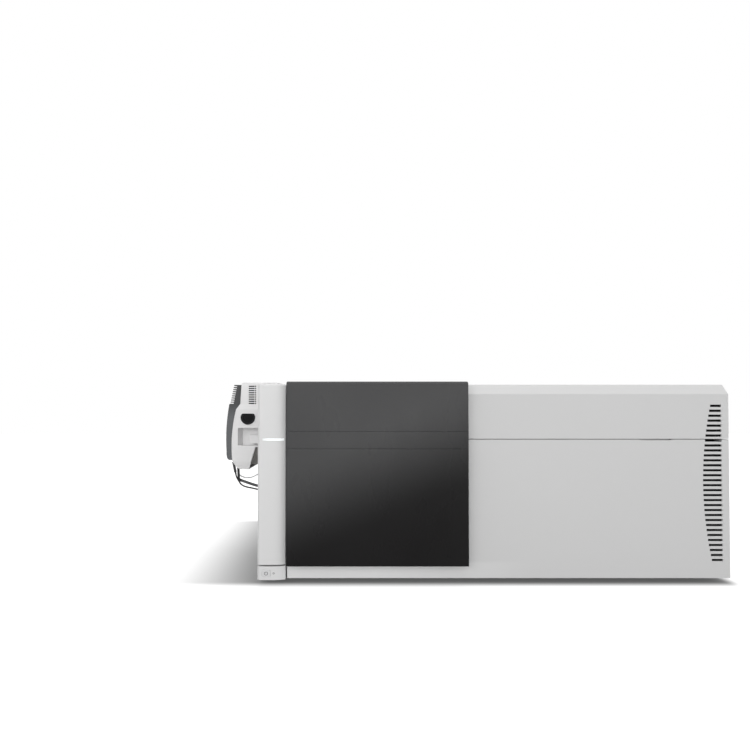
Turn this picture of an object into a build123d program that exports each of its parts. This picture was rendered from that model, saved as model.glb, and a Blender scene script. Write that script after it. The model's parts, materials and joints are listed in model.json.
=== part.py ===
"""A bench-top triple-quadrupole mass spectrometer with its electrospray source, in millimetres.

The frame: +X runs along the long front towards the vented end, +Y goes back into the bench, +Z is up.
The origin is under the middle of the whole instrument, level with the soles of its feet.
"""
import os
from math import pi, radians, sqrt, tan

from build123d import *

os.makedirs("parts", exist_ok=True)

# Envelope ---------------------------------------------------------------------------------------
mainframe_width = 1115.0
body_depth = 640.0
body_height = 457.0
foot_height = 17.0
source_reach = 117.0        # the source's end cover stands this far out past the mainframe's left edge
door_proud = 30.0           # the front door stands this far in front of the front panels
port_reach = 22.0           # the rear ports stand this far behind the rear panel

wall = 3.0                  # moulded covers
sheet = 2.0                 # folded sheet metal
seam = 1.5                  # gap between neighbouring covers
panel_return = 24.0         # depth of a cover's turned-in edge
fit = 0.3                   # clearance between bodies that move past each other

x_left = (source_reach - mainframe_width) / 2
x_right = x_left + mainframe_width
y_front = door_proud - (door_proud + body_depth + port_reach) / 2
y_back = y_front + body_depth
z_bottom = foot_height
z_top = foot_height + body_height

# Front layout -----------------------------------------------------------------------------------
seam_height = 327.0         # the long seam, the lamp and the door's band share this height above the base
z_seam = z_bottom + seam_height
bevel_rise = 23.0
bevel_run = 18.0
corner_width = 65.0
corner_gap = 3.0            # between the corner cover and the panels beside it
corner_proud = 13.0
corner_depth = 70.0
corner_fall = 5.0           # the corner cover's front falls back this much towards the door
plinth_height = 31.6
plinth_gap = 3.5
door_gap = 4.0
door_width = 421.0
door_height = 426.0
door_base = 36.5            # the door's lower edge above the underside of the body
door_lap = 6.0              # the door laps the edges of its bay by this much
strip_height = 30.5
cover_radius = 4.0

x_door = x_left + corner_width + door_gap
x_door_end = x_door + door_width
z_door = z_bottom + door_base
z_door_top = z_door + door_height
x_bay = x_left + corner_width + corner_gap
x_bay_end = x_door_end - door_lap
z_bay = z_bottom + strip_height
z_bay_top = z_top - bevel_rise - 5.0
z_plinth_top = z_bottom + plinth_height
z_corner = z_plinth_top + plinth_gap
y_corner = y_front - corner_proud
y_corner_back = y_front + corner_depth

# Vent louvres at the right end of the front -------------------------------------------------------
slot_count = 32
slot_pitch = 11.735
slot_height = 5.6
vent_top = 79.0             # middle of the highest slot above the seam
vent_margin = 18.9
vent_width = 45.0
vent_arc_radius = 900.0

# Left end wall, ion axis and source ----------------------------------------------------------------
left_recess = 26.0          # the end wall behind the source lies this far in from the left edge
x_wall = x_left + left_recess
source_setback = 150.0      # the source's front lies this far behind the front panels
source_depth = 180.0
source_rise = 12.0          # the source's top stands this far above the mainframe's
source_height = 233.0
y_source = y_front + source_setback
y_source_back = y_source + source_depth
y_ion = y_source + source_depth / 2
source_top = z_top + source_rise
source_bottom = source_top - source_height
z_ion = source_bottom + 99.0


def plane_at_y(y):
    """The vertical plane at depth y, seen from the front: its x is +X, its y is +Z, and it faces -Y."""
    return Plane.XZ.offset(-y)


def plane_at_x(x):
    """The vertical plane at x, seen from the right end: its x is +Y, its y is +Z, and it faces +X."""
    return Plane.YZ.offset(x)


def block(x, y, z, mode=Mode.ADD):
    """A rectangular block between pairs of limits, in the part being built."""
    with Locations(((x[0] + x[1]) / 2, (y[0] + y[1]) / 2, (z[0] + z[1]) / 2)):
        Box(x[1] - x[0], y[1] - y[0], z[1] - z[0], mode=mode)


def rectangle_between(x, y, mode=Mode.ADD):
    """A rectangle between pairs of limits, in the sketch being drawn."""
    with Locations(((x[0] + x[1]) / 2, (y[0] + y[1]) / 2)):
        Rectangle(x[1] - x[0], y[1] - y[0], mode=mode)


on_base = (Align.CENTER, Align.CENTER, Align.MIN)


def save(part, name):
    part.label = name
    export_step(part, f"parts/{name}.step")


def cut_vent_slots():
    """Cuts the front vent's slots: their right ends are in line and their left ends follow a wide arc."""
    top = z_seam + vent_top
    middle = top - (slot_count - 1) / 2 * slot_pitch
    with BuildSketch(plane_at_y(y_front)) as slots:
        for number in range(slot_count):
            height = top - number * slot_pitch
            fall = vent_arc_radius - sqrt(vent_arc_radius**2 - (height - middle) ** 2)
            right = x_right - vent_margin
            slot_z = (height - slot_height / 2, height + slot_height / 2)
            rectangle_between((right - vent_width + fall, right), slot_z)
    extrude(slots.sketch, amount=panel_return + 1, both=True, mode=Mode.SUBTRACT)


# Top cover: a hood with a bevelled front edge, open below and at its left end -----------------------
with BuildPart() as top_cover:
    with BuildSketch(plane_at_x(x_wall)):
        with BuildLine():
            Polyline(
                (y_front, z_seam + seam / 2),
                (y_front, z_top - bevel_rise),
                (y_front + bevel_run, z_top),
                (y_back, z_top),
                (y_back, z_seam + seam / 2),
                close=True,
            )
        make_face()
    extrude(amount=x_right - x_wall)
    hood_ends = top_cover.edges().filter_by(Axis.Z).group_by(Axis.X)[-1]
    fillet(hood_ends, radius=cover_radius)
    long_edges = top_cover.edges().filter_by(Axis.X).group_by(Axis.Z)
    fillet(long_edges[-1] + long_edges[-2], radius=cover_radius)
    hood_open = top_cover.faces().sort_by(Axis.Z)[:1] + top_cover.faces().sort_by(Axis.X)[:1]
    offset(amount=-wall, openings=hood_open)
    block((x_wall - 1, x_bay), (y_front - 1, y_corner_back), (z_seam, z_top + 1), mode=Mode.SUBTRACT)
    block((x_bay - 1, x_bay_end), (y_front - 1, y_front + wall + 1), (z_seam, z_bay_top), mode=Mode.SUBTRACT)
    cut_vent_slots()
save(top_cover.part, "top_cover")

# Lower front panel: an L-shaped tray with turned-in edges, running under the door as a strip ---------
relief_length = 76.0
relief_centre = x_right - 176.0
relief_drop = 1.6
with BuildPart() as lower_front_panel:
    with BuildSketch(plane_at_y(y_front)):
        with BuildLine():
            Polyline(
                (x_bay, z_bottom),
                (x_right, z_bottom),
                (x_right, z_seam - seam / 2),
                (x_bay_end, z_seam - seam / 2),
                (x_bay_end, z_bay),
                (x_bay, z_bay),
                close=True,
            )
        make_face()
    extrude(amount=-panel_return)
    right_corner = lower_front_panel.edges().filter_by(Axis.Z).sort_by(Axis.X)[-2:].sort_by(Axis.Y)[0]
    fillet(right_corner, radius=cover_radius)
    offset(amount=-wall, openings=lower_front_panel.faces().sort_by(Axis.Y)[-1])
    relief_x = (relief_centre - relief_length / 2, relief_centre + relief_length / 2)
    relief_z = (z_seam - seam / 2 - relief_drop, z_seam)
    block(relief_x, (y_front - 1, y_front + 8), relief_z, mode=Mode.SUBTRACT)
    cut_vent_slots()
save(lower_front_panel.part, "lower_front_panel")

# Right end panel, between the returns of the front and rear panels -----------------------------------
with BuildPart() as right_side_panel:
    block(
        (x_right - wall, x_right),
        (y_front + panel_return + seam, y_back - panel_return - seam),
        (z_bottom, z_seam - seam / 2),
    )
save(right_side_panel.part, "right_side_panel")


# Corner cover, plinth and status lamp ----------------------------------------------------------------
def corner_outline():
    """The corner's plan: a rounded left edge, and a front that falls back in an arc towards the door."""
    arc_start = x_left + corner_width * 0.58
    with BuildLine() as outline:
        Polyline(
            (x_left + corner_width, y_corner + corner_fall),
            (x_left + corner_width, y_corner_back),
            (x_left, y_corner_back),
            (x_left, y_corner + cover_radius),
        )
        RadiusArc((x_left, y_corner + cover_radius), (x_left + cover_radius, y_corner), cover_radius)
        Line((x_left + cover_radius, y_corner), (arc_start, y_corner))
        TangentArc((arc_start, y_corner), (x_left + corner_width, y_corner + corner_fall), tangent=(1, 0))
    make_face(outline.edges())


lamp_length = 50.0
lamp_height = 5.0
lamp_margin = 3.5
lamp_x = (x_left + corner_width - lamp_margin - lamp_length, x_left + corner_width - lamp_margin)
lamp_z = (z_seam - lamp_height / 2, z_seam + lamp_height / 2)
lamp_depth = 12.0

with BuildPart() as corner_cover:
    with BuildSketch(Plane.XY.offset(z_corner)):
        corner_outline()
    extrude(amount=z_top - z_corner)
    corner_rim = corner_cover.faces().sort_by(Axis.Z)[-1].edges().sort_by(Axis.Y)[:-1]
    fillet(corner_rim, radius=cover_radius)
    corner_open = corner_cover.faces().sort_by(Axis.Y)[-1:] + corner_cover.faces().sort_by(Axis.Z)[:1]
    offset(amount=-wall, openings=corner_open)
    block(lamp_x, (y_corner - 1, y_corner + corner_fall + wall + 2), lamp_z, mode=Mode.SUBTRACT)
save(corner_cover.part, "corner_cover")

with BuildPart() as status_lamp:
    with BuildSketch(Plane.XY.offset(lamp_z[0])):
        corner_outline()
        rectangle_between(lamp_x, (y_corner - 1, y_corner + lamp_depth), mode=Mode.INTERSECT)
    extrude(amount=lamp_height)
save(status_lamp.part, "status_lamp")

button_width = 20.0
button_height = 15.0
button_depth = 9.0
button_travel = 2.5
button_proud = 0.8
button_x = x_left + 20.8
button_z = z_bottom + 15.6
with BuildPart() as corner_plinth:
    with BuildSketch(Plane.XY.offset(z_bottom)):
        corner_outline()
    extrude(amount=plinth_height)
    plinth_open = corner_plinth.faces().sort_by(Axis.Y)[-1:] + corner_plinth.faces().sort_by(Axis.Z)[:1]
    offset(amount=-wall, openings=plinth_open)
    with BuildSketch(plane_at_y(y_corner)):
        with Locations((button_x, button_z)):
            RectangleRounded(button_width + 2 * fit, button_height + 2 * fit, 2 + fit)
    extrude(amount=-wall - 1, mode=Mode.SUBTRACT)
save(corner_plinth.part, "corner_plinth")

switch_gap = button_travel + fit
with BuildPart() as power_button:
    with BuildSketch(plane_at_y(y_corner - button_proud)):
        with Locations((button_x, button_z)):
            RectangleRounded(button_width, button_height, 2)
    extrude(amount=-button_depth)
    with Locations(plane_at_y(y_corner - button_proud)):
        with Locations((button_x, button_z)):
            Cylinder(2.2, 1.0, mode=Mode.SUBTRACT)
    front_edges = power_button.faces().sort_by(Axis.Y)[0].outer_wire().edges()
    fillet(front_edges, radius=0.6)
save(power_button.part, "power_button")

switch_front = y_corner - button_proud + button_depth + switch_gap
switch_width = 28.0
switch_margin = 8.0
switch_drop = 11.0
with BuildPart() as power_switch:
    switch_x = (button_x - switch_width / 2, button_x + switch_width / 2)
    switch_y = (switch_front, y_corner_back - switch_margin)
    block(switch_x, switch_y, (button_z - switch_drop, z_plinth_top - wall))
save(power_switch.part, "power_switch")

# Front door: a deep moulded lid hinged at its right edge, with a liner that carries the hinge lugs ------
bay_depth = 100.0
bay_wall = 2.5
door_wall = 3.0
door_clear = 1.0            # gap between the closed door's rim and the front panels
hinge_inset = 12.0          # the hinge axis lies this far inside the door's right rear edge, both ways
hinge_pin_radius = 3.0
hinge_arm_height = 10.0
hinge_lug_height = 10.0
hinge_play = 1.0
running_fit = 0.05
hinge_arm_left = 4.5
hinge_above_base = 66.0     # the lower hinge's middle above the bay's lower edge
hinge_below_top = 26.5      # the upper hinge's middle below the bay's upper edge
hinge_reach = 46.0          # the arms run this far back into the bay
groove_gap = 39.7           # the two grooves that frame the door's band
groove_width = 1.6
groove_depth = 1.0
pocket_margin = 40.0        # two shallow pockets stiffen the liner
pocket_height = 110.0
pocket_depth = 1.2
liner_setback = 4.0         # the liner lies this far inside the rim
y_door = y_front - door_proud
y_door_rim = y_front - door_clear
x_hinge = x_door_end - hinge_inset
hinge_arm_right = hinge_inset - door_lap - bay_wall
y_hinge = y_door_rim - hinge_inset
hinge_heights = (z_bay + hinge_above_base, z_bay_top - hinge_below_top)
arm_gap = hinge_arm_height / 2 + hinge_play

with BuildPart() as front_door:
    with BuildSketch(Plane.XY.offset(z_door)) as door_plan:
        rectangle_between((x_door, x_door_end), (y_door, y_door_rim))
        fillet(door_plan.vertices().sort_by(Axis.X)[-2:].sort_by(Axis.Y)[-1], radius=hinge_inset)
    extrude(amount=door_height)
    fillet(front_door.edges().filter_by(Axis.X).sort_by(Axis.Y)[:2].sort_by(Axis.Z)[-1], radius=9)
    fillet(front_door.faces().sort_by(Axis.Y)[0].outer_wire().edges(), radius=2)
    with BuildSketch(Plane.XY.offset(z_door + door_wall)) as door_hollow:
        rectangle_between(
            (x_door + door_wall, x_door_end - door_wall), (y_door + door_wall, y_door_rim + 1)
        )
    extrude(amount=door_height - 2 * door_wall, mode=Mode.SUBTRACT)
    for groove_z in (z_seam - groove_gap / 2, z_seam + groove_gap / 2):
        block(
            (x_door - 1, x_door_end + 1),
            (y_door - 1, y_door + groove_depth),
            (groove_z - groove_width / 2, groove_z + groove_width / 2),
            mode=Mode.SUBTRACT,
        )
    for height in hinge_heights:
        block(
            (x_door_end - door_wall - 1, x_door_end + 1),
            (y_hinge - hinge_arm_right - hinge_play, y_door_rim + 1),
            (height - arm_gap, height + arm_gap),
            mode=Mode.SUBTRACT,
        )
save(front_door.part, "front_door")

liner_x = (x_door + door_wall, x_door_end - 2 * hinge_inset - 4)
liner_y = (y_door_rim - liner_setback - wall, y_door_rim - liner_setback)
liner_z = (z_door + door_wall, z_door_top - door_wall)
lug_radius = hinge_inset - door_wall - fit
with BuildPart() as door_liner:
    block(liner_x, liner_y, liner_z)
    for rib_x in (liner_x[0] + wall / 2, liner_x[1] - wall / 2):
        block((rib_x - wall / 2, rib_x + wall / 2), (y_door + door_wall, liner_y[1]), liner_z)
    for height in hinge_heights:
        for side in (-1, 1):
            near = height + side * arm_gap
            far = near + side * hinge_lug_height
            with BuildSketch(Plane.XY.offset(min(near, far))) as lug_plan:
                with Locations((x_hinge, y_hinge)):
                    Circle(lug_radius)
                rectangle_between((liner_x[1], x_hinge), (y_hinge - lug_radius, y_hinge + lug_radius))
                with Locations((x_hinge, y_hinge)):
                    Circle(hinge_pin_radius + running_fit, mode=Mode.SUBTRACT)
            extrude(amount=hinge_lug_height)
    for pocket_z in (liner_z[0] + pocket_margin, liner_z[1] - pocket_margin - pocket_height):
        pocket_x = (liner_x[0] + pocket_margin, liner_x[1] - pocket_margin)
        pocket_y = (liner_y[1] - pocket_depth, liner_y[1])
        block(pocket_x, pocket_y, (pocket_z, pocket_z + pocket_height), mode=Mode.SUBTRACT)
save(door_liner.part, "door_liner")

# Service bay: a moulded tub behind the door, with the divert valve and the calibrant bottle ------------
y_bay_back = y_front + bay_depth
with BuildPart() as service_bay:
    block((x_bay, x_bay_end), (y_front + wall + 2 * fit, y_bay_back), (z_bay, z_bay_top))
    block(
        (x_bay + bay_wall, x_bay_end - bay_wall),
        (y_front, y_bay_back - bay_wall),
        (z_bay + bay_wall, z_bay_top - bay_wall),
        mode=Mode.SUBTRACT,
    )
save(service_bay.part, "service_bay")

for number, height in enumerate(hinge_heights, start=1):
    with BuildPart() as door_hinge:
        with BuildSketch(Plane.XY.offset(height - hinge_arm_height / 2)) as arm_plan:
            with Locations((x_hinge, y_hinge)):
                Circle(hinge_arm_left)
            rectangle_between(
                (x_hinge - hinge_arm_left, x_hinge + hinge_arm_right), (y_hinge, y_front + hinge_reach)
            )
            rectangle_between(
                (x_hinge - hinge_arm_left, x_bay_end - bay_wall),
                (y_front + hinge_reach - 24, y_front + hinge_reach),
            )
        extrude(amount=hinge_arm_height)
        with Locations((x_hinge, y_hinge, height)):
            Cylinder(hinge_pin_radius, 2 * arm_gap + 2 * hinge_lug_height)
    save(door_hinge.part, f"door_hinge_{number}")

# Bay equipment: a shelf with the calibrant bottle, and the divert valve on the bay's back -------------
shelf_width = 84.0
shelf_depth = 74.0
shelf_thickness = 3.0
shelf_height = 40.0         # above the bay's floor
bottle_radius = 27.0
bottle_height = 92.0
neck_radius = 13.0
neck_height = 14.0
cap_radius = 17.0
cap_height = 22.0
x_bottle = x_bay + 88.0
y_bottle = y_bay_back - bay_wall - shelf_depth / 2
z_shelf = z_bay + bay_wall + shelf_height
with BuildPart() as bottle_shelf:
    with BuildSketch(plane_at_x(x_bottle - shelf_width / 2)):
        with BuildLine():
            shelf_back = y_bay_back - bay_wall
            Polyline(
                (shelf_back, z_shelf - shelf_thickness),
                (shelf_back - shelf_depth, z_shelf - shelf_thickness),
                (shelf_back - shelf_depth, z_shelf + 12),
                (shelf_back - shelf_depth + shelf_thickness, z_shelf + 12),
                (shelf_back - shelf_depth + shelf_thickness, z_shelf),
                (shelf_back - shelf_thickness, z_shelf),
                (shelf_back - shelf_thickness, z_shelf + bottle_height * 0.6),
                (shelf_back, z_shelf + bottle_height * 0.6),
                close=True,
            )
        make_face()
    extrude(amount=shelf_width)
save(bottle_shelf.part, "bottle_shelf")

with BuildPart() as calibrant_bottle:
    with BuildSketch(plane_at_y(y_bottle)):
        with BuildLine():
            Polyline(
                (x_bottle, z_shelf),
                (x_bottle + bottle_radius, z_shelf),
                (x_bottle + bottle_radius, z_shelf + bottle_height - 12),
                (x_bottle + neck_radius, z_shelf + bottle_height),
                (x_bottle + neck_radius, z_shelf + bottle_height + neck_height),
                (x_bottle, z_shelf + bottle_height + neck_height),
                close=True,
            )
        make_face()
    revolve(axis=Axis((x_bottle, y_bottle, 0), (0, 0, 1)))
    fillet(calibrant_bottle.edges().filter_by(GeomType.CIRCLE).sort_by(Axis.Z)[0], radius=4)
save(calibrant_bottle.part, "calibrant_bottle")

cap_base = z_shelf + bottle_height + neck_height
with BuildPart() as bottle_cap:
    with Locations((x_bottle, y_bottle, cap_base - neck_height * 0.7)):
        Cylinder(cap_radius, cap_height, align=on_base)
        Cylinder(neck_radius, neck_height * 0.7, align=on_base, mode=Mode.SUBTRACT)
    chamfer(bottle_cap.edges().filter_by(GeomType.CIRCLE).sort_by(Axis.Z)[-1], length=1.5)
save(bottle_cap.part, "bottle_cap")

valve_radius = 30.0
valve_length = 58.0
valve_face_radius = 21.0
valve_face_length = 12.0
port_count = 6
port_radius = 3.4
port_circle = 14.0
x_valve = x_bay_end - 110.0
z_valve = z_bay + bay_wall + 90.0
y_valve = y_bay_back - bay_wall - valve_length
with BuildPart() as divert_valve:
    with BuildSketch(plane_at_y(y_bay_back - bay_wall)):
        with Locations((x_valve, z_valve)):
            RectangleRounded(2 * valve_radius + 14, 2 * valve_radius + 14, 6)
    extrude(amount=5)
    with BuildSketch(plane_at_y(y_bay_back - bay_wall - 5)):
        with Locations((x_valve, z_valve)):
            Circle(valve_radius)
    extrude(amount=valve_length - 5)
    chamfer(divert_valve.faces().sort_by(Axis.Y)[0].edges(), length=3)
    with BuildSketch(plane_at_y(y_valve)):
        with Locations((x_valve, z_valve)):
            Circle(valve_face_radius)
    extrude(amount=valve_face_length)
    with BuildSketch(plane_at_y(y_valve - valve_face_length)):
        with Locations((x_valve, z_valve)):
            with PolarLocations(port_circle, port_count):
                RegularPolygon(port_radius, 6)
    extrude(amount=9)
save(divert_valve.part, "divert_valve")

# End panel: a folded sheet that closes the hood's left end and the back of the corner cover -----------
chamber_bore = 40.0
lens_bore = 34.0
with BuildPart() as end_panel:
    with BuildSketch(Plane.XY.offset(z_bottom)):
        with BuildLine():
            Polyline(
                (x_left, y_corner_back),
                (x_wall + sheet, y_corner_back),
                (x_wall + sheet, y_back - panel_return),
                (x_wall, y_back - panel_return),
                (x_wall, y_corner_back + sheet),
                (x_left, y_corner_back + sheet),
                close=True,
            )
        make_face()
    extrude(amount=z_top - wall - z_bottom)
    block((x_wall, x_wall + sheet), (y_corner_back, y_back - wall - seam), (z_seam + seam / 2, z_top - wall))
    with BuildSketch(plane_at_x(x_wall - 1)):
        with Locations((y_ion, z_ion)):
            Circle(lens_bore)
    extrude(amount=sheet + 2, mode=Mode.SUBTRACT)
save(end_panel.part, "end_panel")

# Cables and drain tube: they hang in loops from the source to glands on the end panel ----------------------
gland_reach = 12.0
x_gland = x_wall - gland_reach


def cord_corners(points):
    """The bend radius at each inner point: 0.45 of the shorter run over the tangent of half the turn."""
    radii = []
    for before, here, after in zip(points, points[1:], points[2:]):
        run_in = Vector(*here) - Vector(*before)
        run_out = Vector(*after) - Vector(*here)
        half_turn = radians(run_in.get_angle(run_out)) / 2
        radii.append(0.45 * min(run_in.length, run_out.length) / tan(half_turn))
    return radii


heater_cable_radius = 3.6
heater_cable_points = [
    (x_wall - 106.5, y_source + 27, source_bottom - 33.5),
    (x_wall - 96.1, y_source + 27, source_bottom - 37.1),
    (x_wall - 82, y_source + 28.2, source_bottom - 42.3),
    (x_wall - 66, y_source + 31, source_bottom - 48.1),
    (x_wall - 48.5, y_source + 34.5, source_bottom - 52.4),
    (x_wall - 29, y_source + 38, source_bottom - 54.4),
    (x_gland, y_source + 38, source_bottom - 54.4),
]
hv_cable_radius = 2.0
hv_cable_points = [
    (x_wall - 119.6, y_source + 16, source_bottom - 14.5),
    (x_wall - 118.2, y_source + 16, source_bottom - 21.2),
    (x_wall - 115, y_source + 16, source_bottom - 27.6),
    (x_wall - 111.2, y_source + 16, source_bottom - 33.6),
    (x_wall - 107.2, y_source + 16.3, source_bottom - 40.4),
    (x_wall - 100.8, y_source + 17, source_bottom - 46),
    (x_wall - 91.3, y_source + 18.2, source_bottom - 49.8),
    (x_wall - 76.5, y_source + 20.5, source_bottom - 53),
    (x_wall - 60, y_source + 23, source_bottom - 57.4),
    (x_wall - 43, y_source + 25.5, source_bottom - 60.4),
    (x_wall - 26.8, y_source + 27, source_bottom - 61.4),
    (x_gland, y_source + 27, source_bottom - 61.4),
]
drain_tube_radius = 1.65
drain_tube_points = [
    (x_wall - 118.4, y_source + 44, source_bottom - 9),
    (x_wall - 118.4, y_source + 44, source_bottom - 16.5),
    (x_wall - 113.5, y_source + 44, source_bottom - 23),
    (x_wall - 105.5, y_source + 44.4, source_bottom - 26.7),
    (x_wall - 96, y_source + 45, source_bottom - 28.6),
    (x_wall - 86, y_source + 45.8, source_bottom - 28.4),
    (x_wall - 76.5, y_source + 46.8, source_bottom - 25),
    (x_wall - 66.5, y_source + 48, source_bottom - 19.3),
    (x_wall - 55, y_source + 49.2, source_bottom - 14.6),
    (x_wall - 42, y_source + 50.4, source_bottom - 11.4),
    (x_wall - 27, y_source + 51, source_bottom - 10),
    (x_gland, y_source + 51, source_bottom - 10),
]


def behind(points, distance):
    """The point this far behind a cord's first point, in line with its first run."""
    start = Vector(*points[0])
    first_run = Vector(*points[1]) - start
    return start - first_run.normalized() * distance


boot_radius = 3.4
boot_taper = 8.0
boot_lip = 0.4              # the boot's end stands this far outside its cord
elbow_rise = 46.0           # the heater lead's boot turns up and rises this far into the shell
elbow_lean = 2.0
hv_boot_length = 34.0
drain_boot_length = 26.0
boots = {
    "heater_connector": (
        behind(heater_cable_points, boot_taper) + Vector(-elbow_lean, 0, elbow_rise),
        heater_cable_points,
        heater_cable_radius,
    ),
    "hv_connector": (behind(hv_cable_points, hv_boot_length), hv_cable_points, hv_cable_radius),
    "drain_fitting": (behind(drain_tube_points, drain_boot_length), drain_tube_points, drain_tube_radius),
}


# Source: a moulded shell over the spray chamber, swinging on a hinge at its right rear edge -------------
shell_wall = 3.0
seal_gap = 2.5
x_seal = x_wall - seal_gap  # the source closes against the interface plate here
source_vent_pitch = 5.75
source_vent_height = 3.0
source_vent_count = 9
source_vent_base = source_top - 57.4
source_vent_long = (x_wall - 82.3, x_wall - 67.0)
source_vent_short = (x_wall - 65.8, x_wall - 62.5)
bezel_radius = 19.4
bezel_flat = 10.3           # the window's bezel is cut flat this far over its centre
glass_radius = 14.0
x_window = x_wall - 83.8
z_window = z_ion + 40.5
pocket_x = (x_wall - 111.0, x_wall - 18.0)
pocket_z = (z_ion - 35.0, z_ion + 12.0)
pocket_slope = 8.0          # the pocket's left wall slants in by this much over its depth
latch_pocket_depth = 24.0
source_hinge_inset = 9.0    # the hinge axis stands this far off the end panel and behind the source
source_pin_radius = 3.0
knuckle_radius = 7.0
knuckle_height = 24.0
ear_height = 8.0
ear_radius = 6.0
knuckle_heights = (z_ion - 1.0, z_ion + 98.0)
x_swing = x_wall - source_hinge_inset
y_swing = y_source_back + source_hinge_inset
x_spray = x_wall - 42.0
well_radius = 24.0
z_shoulder = source_top - 57.0
shoulder_height = 15.0
brow_setback = 1.4          # above the shoulder the shell's front falls back by this much
chin_setback = 2.4          # at its foot it falls back by this much
chin_height = 20.0
mouth_rise = 59.0           # the slanted mouth's height, its foot and its top
mouth_foot = x_wall - 80.9
mouth_top = x_wall - 63.1


def source_outline():
    """The shell's front view, over the top, down to the mouth and round the left side."""
    with BuildLine() as outline:
        Polyline(
            (x_wall - 116.5, z_shoulder - shoulder_height),
            (x_wall - 105, z_shoulder),
            (x_wall - 101.6, source_top),
            (x_seal, source_top),
            (x_seal, source_bottom + mouth_rise),
            (mouth_top, source_bottom + mouth_rise),
            (mouth_foot, source_bottom),
            (x_wall - 105, source_bottom),
        )
        ThreePointArc(
            (x_wall - 105, source_bottom),
            (x_wall - 118.3, source_bottom + 10.4),
            (x_wall - 126.5, source_bottom + 25),
        )
        ThreePointArc(
            (x_wall - 126.5, source_bottom + 25),
            (x_wall - 128.2, source_bottom + 72),
            (x_wall - 116.5, z_shoulder - shoulder_height),
        )
    make_face(outline.edges())


with BuildPart() as source_housing:
    with BuildSketch(plane_at_y(y_source)):
        source_outline()
    extrude(amount=-source_depth)
    fillet(source_housing.faces().sort_by(Axis.Y)[0].outer_wire().edges().sort_by(Axis.X)[:-1], radius=2.5)
    with BuildSketch(plane_at_x(x_wall)):
        with BuildLine():
            Polyline(
                (y_source + brow_setback, source_top),
                (y_source + brow_setback, z_shoulder),
                (y_source, z_shoulder - shoulder_height),
                (y_source, source_bottom + chin_height),
                (y_source + chin_setback, source_bottom),
                (y_source_back, source_bottom),
                (y_source_back, source_top),
                close=True,
            )
        make_face()
    extrude(amount=-2 * source_reach, mode=Mode.INTERSECT)
    with BuildSketch(plane_at_y(y_source + shell_wall)):
        source_outline()
        rectangle_between((mouth_foot, x_seal + 40), (source_bottom - 40, source_top))
        offset(amount=-shell_wall, mode=Mode.REPLACE)
    extrude(amount=2 * shell_wall - source_depth, mode=Mode.SUBTRACT)
    block(
        (pocket_x[0] - shell_wall, pocket_x[1] + shell_wall),
        (y_source + shell_wall, y_source + latch_pocket_depth + shell_wall),
        (pocket_z[0] - shell_wall, pocket_z[1] + shell_wall),
    )
    with BuildSketch(Plane.XY.offset(pocket_z[0])):
        with BuildLine():
            Polyline(
                (pocket_x[0], y_source - 1),
                (pocket_x[1], y_source - 1),
                (pocket_x[1], y_source + latch_pocket_depth),
                (pocket_x[0] + pocket_slope, y_source + latch_pocket_depth),
                close=True,
            )
        make_face()
    extrude(amount=pocket_z[1] - pocket_z[0], mode=Mode.SUBTRACT)
    with BuildSketch(plane_at_y(y_source)):
        with Locations((x_window, z_window)):
            Circle(glass_radius + 2)
        rectangle_between(
            (x_window - bezel_radius, x_window + bezel_radius),
            (z_window - bezel_radius, z_window + bezel_flat),
            mode=Mode.INTERSECT,
        )
        for number in range(source_vent_count):
            height = source_vent_base + number * source_vent_pitch
            rectangle_between(source_vent_long, (height, height + source_vent_height))
            rectangle_between(source_vent_short, (height, height + source_vent_height))
    extrude(amount=-shell_wall - 1, mode=Mode.SUBTRACT)
    with Locations((x_spray, y_ion, source_top)):
        Cylinder(well_radius, 4 * shell_wall, mode=Mode.SUBTRACT)
    for top, points, radius in boots.values():
        body = behind(points, boot_taper) - top
        with Locations(Plane(origin=top - body.normalized(), z_dir=body)):
            Cylinder(boot_radius + fit, body.length, align=on_base, mode=Mode.SUBTRACT)
    for height in knuckle_heights:
        with BuildSketch(Plane.XY.offset(height - knuckle_height / 2)) as knuckle:
            with Locations((x_swing, y_swing)):
                Circle(knuckle_radius)
            knuckle_x = (x_swing - knuckle_radius, x_swing + knuckle_radius)
            rectangle_between(knuckle_x, (y_source_back - 1, y_swing))
            with Locations((x_swing, y_swing)):
                Circle(source_pin_radius + running_fit, mode=Mode.SUBTRACT)
        extrude(amount=knuckle_height)
save(source_housing.part, "source_housing")

for number, height in enumerate(knuckle_heights, start=1):
    ear_base = height - knuckle_height / 2 - hinge_play - ear_height
    bracket_height = knuckle_height + 2 * hinge_play + 2 * ear_height
    plate_y = (y_swing + knuckle_radius + 2, y_swing + knuckle_radius + 34)
    with BuildPart() as source_hinge:
        block((x_wall - wall, x_wall), plate_y, (ear_base, ear_base + bracket_height))
        for base in (ear_base, ear_base + bracket_height - ear_height):
            with BuildSketch(Plane.XY.offset(base)):
                with Locations((x_swing, y_swing)):
                    Circle(ear_radius)
                rectangle_between((x_swing - ear_radius, x_wall), (y_swing, plate_y[0] + wall))
            extrude(amount=ear_height)
        with Locations((x_swing, y_swing, ear_base)):
            Cylinder(source_pin_radius, bracket_height, align=on_base)
    save(source_hinge.part, f"source_hinge_{number}")

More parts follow.
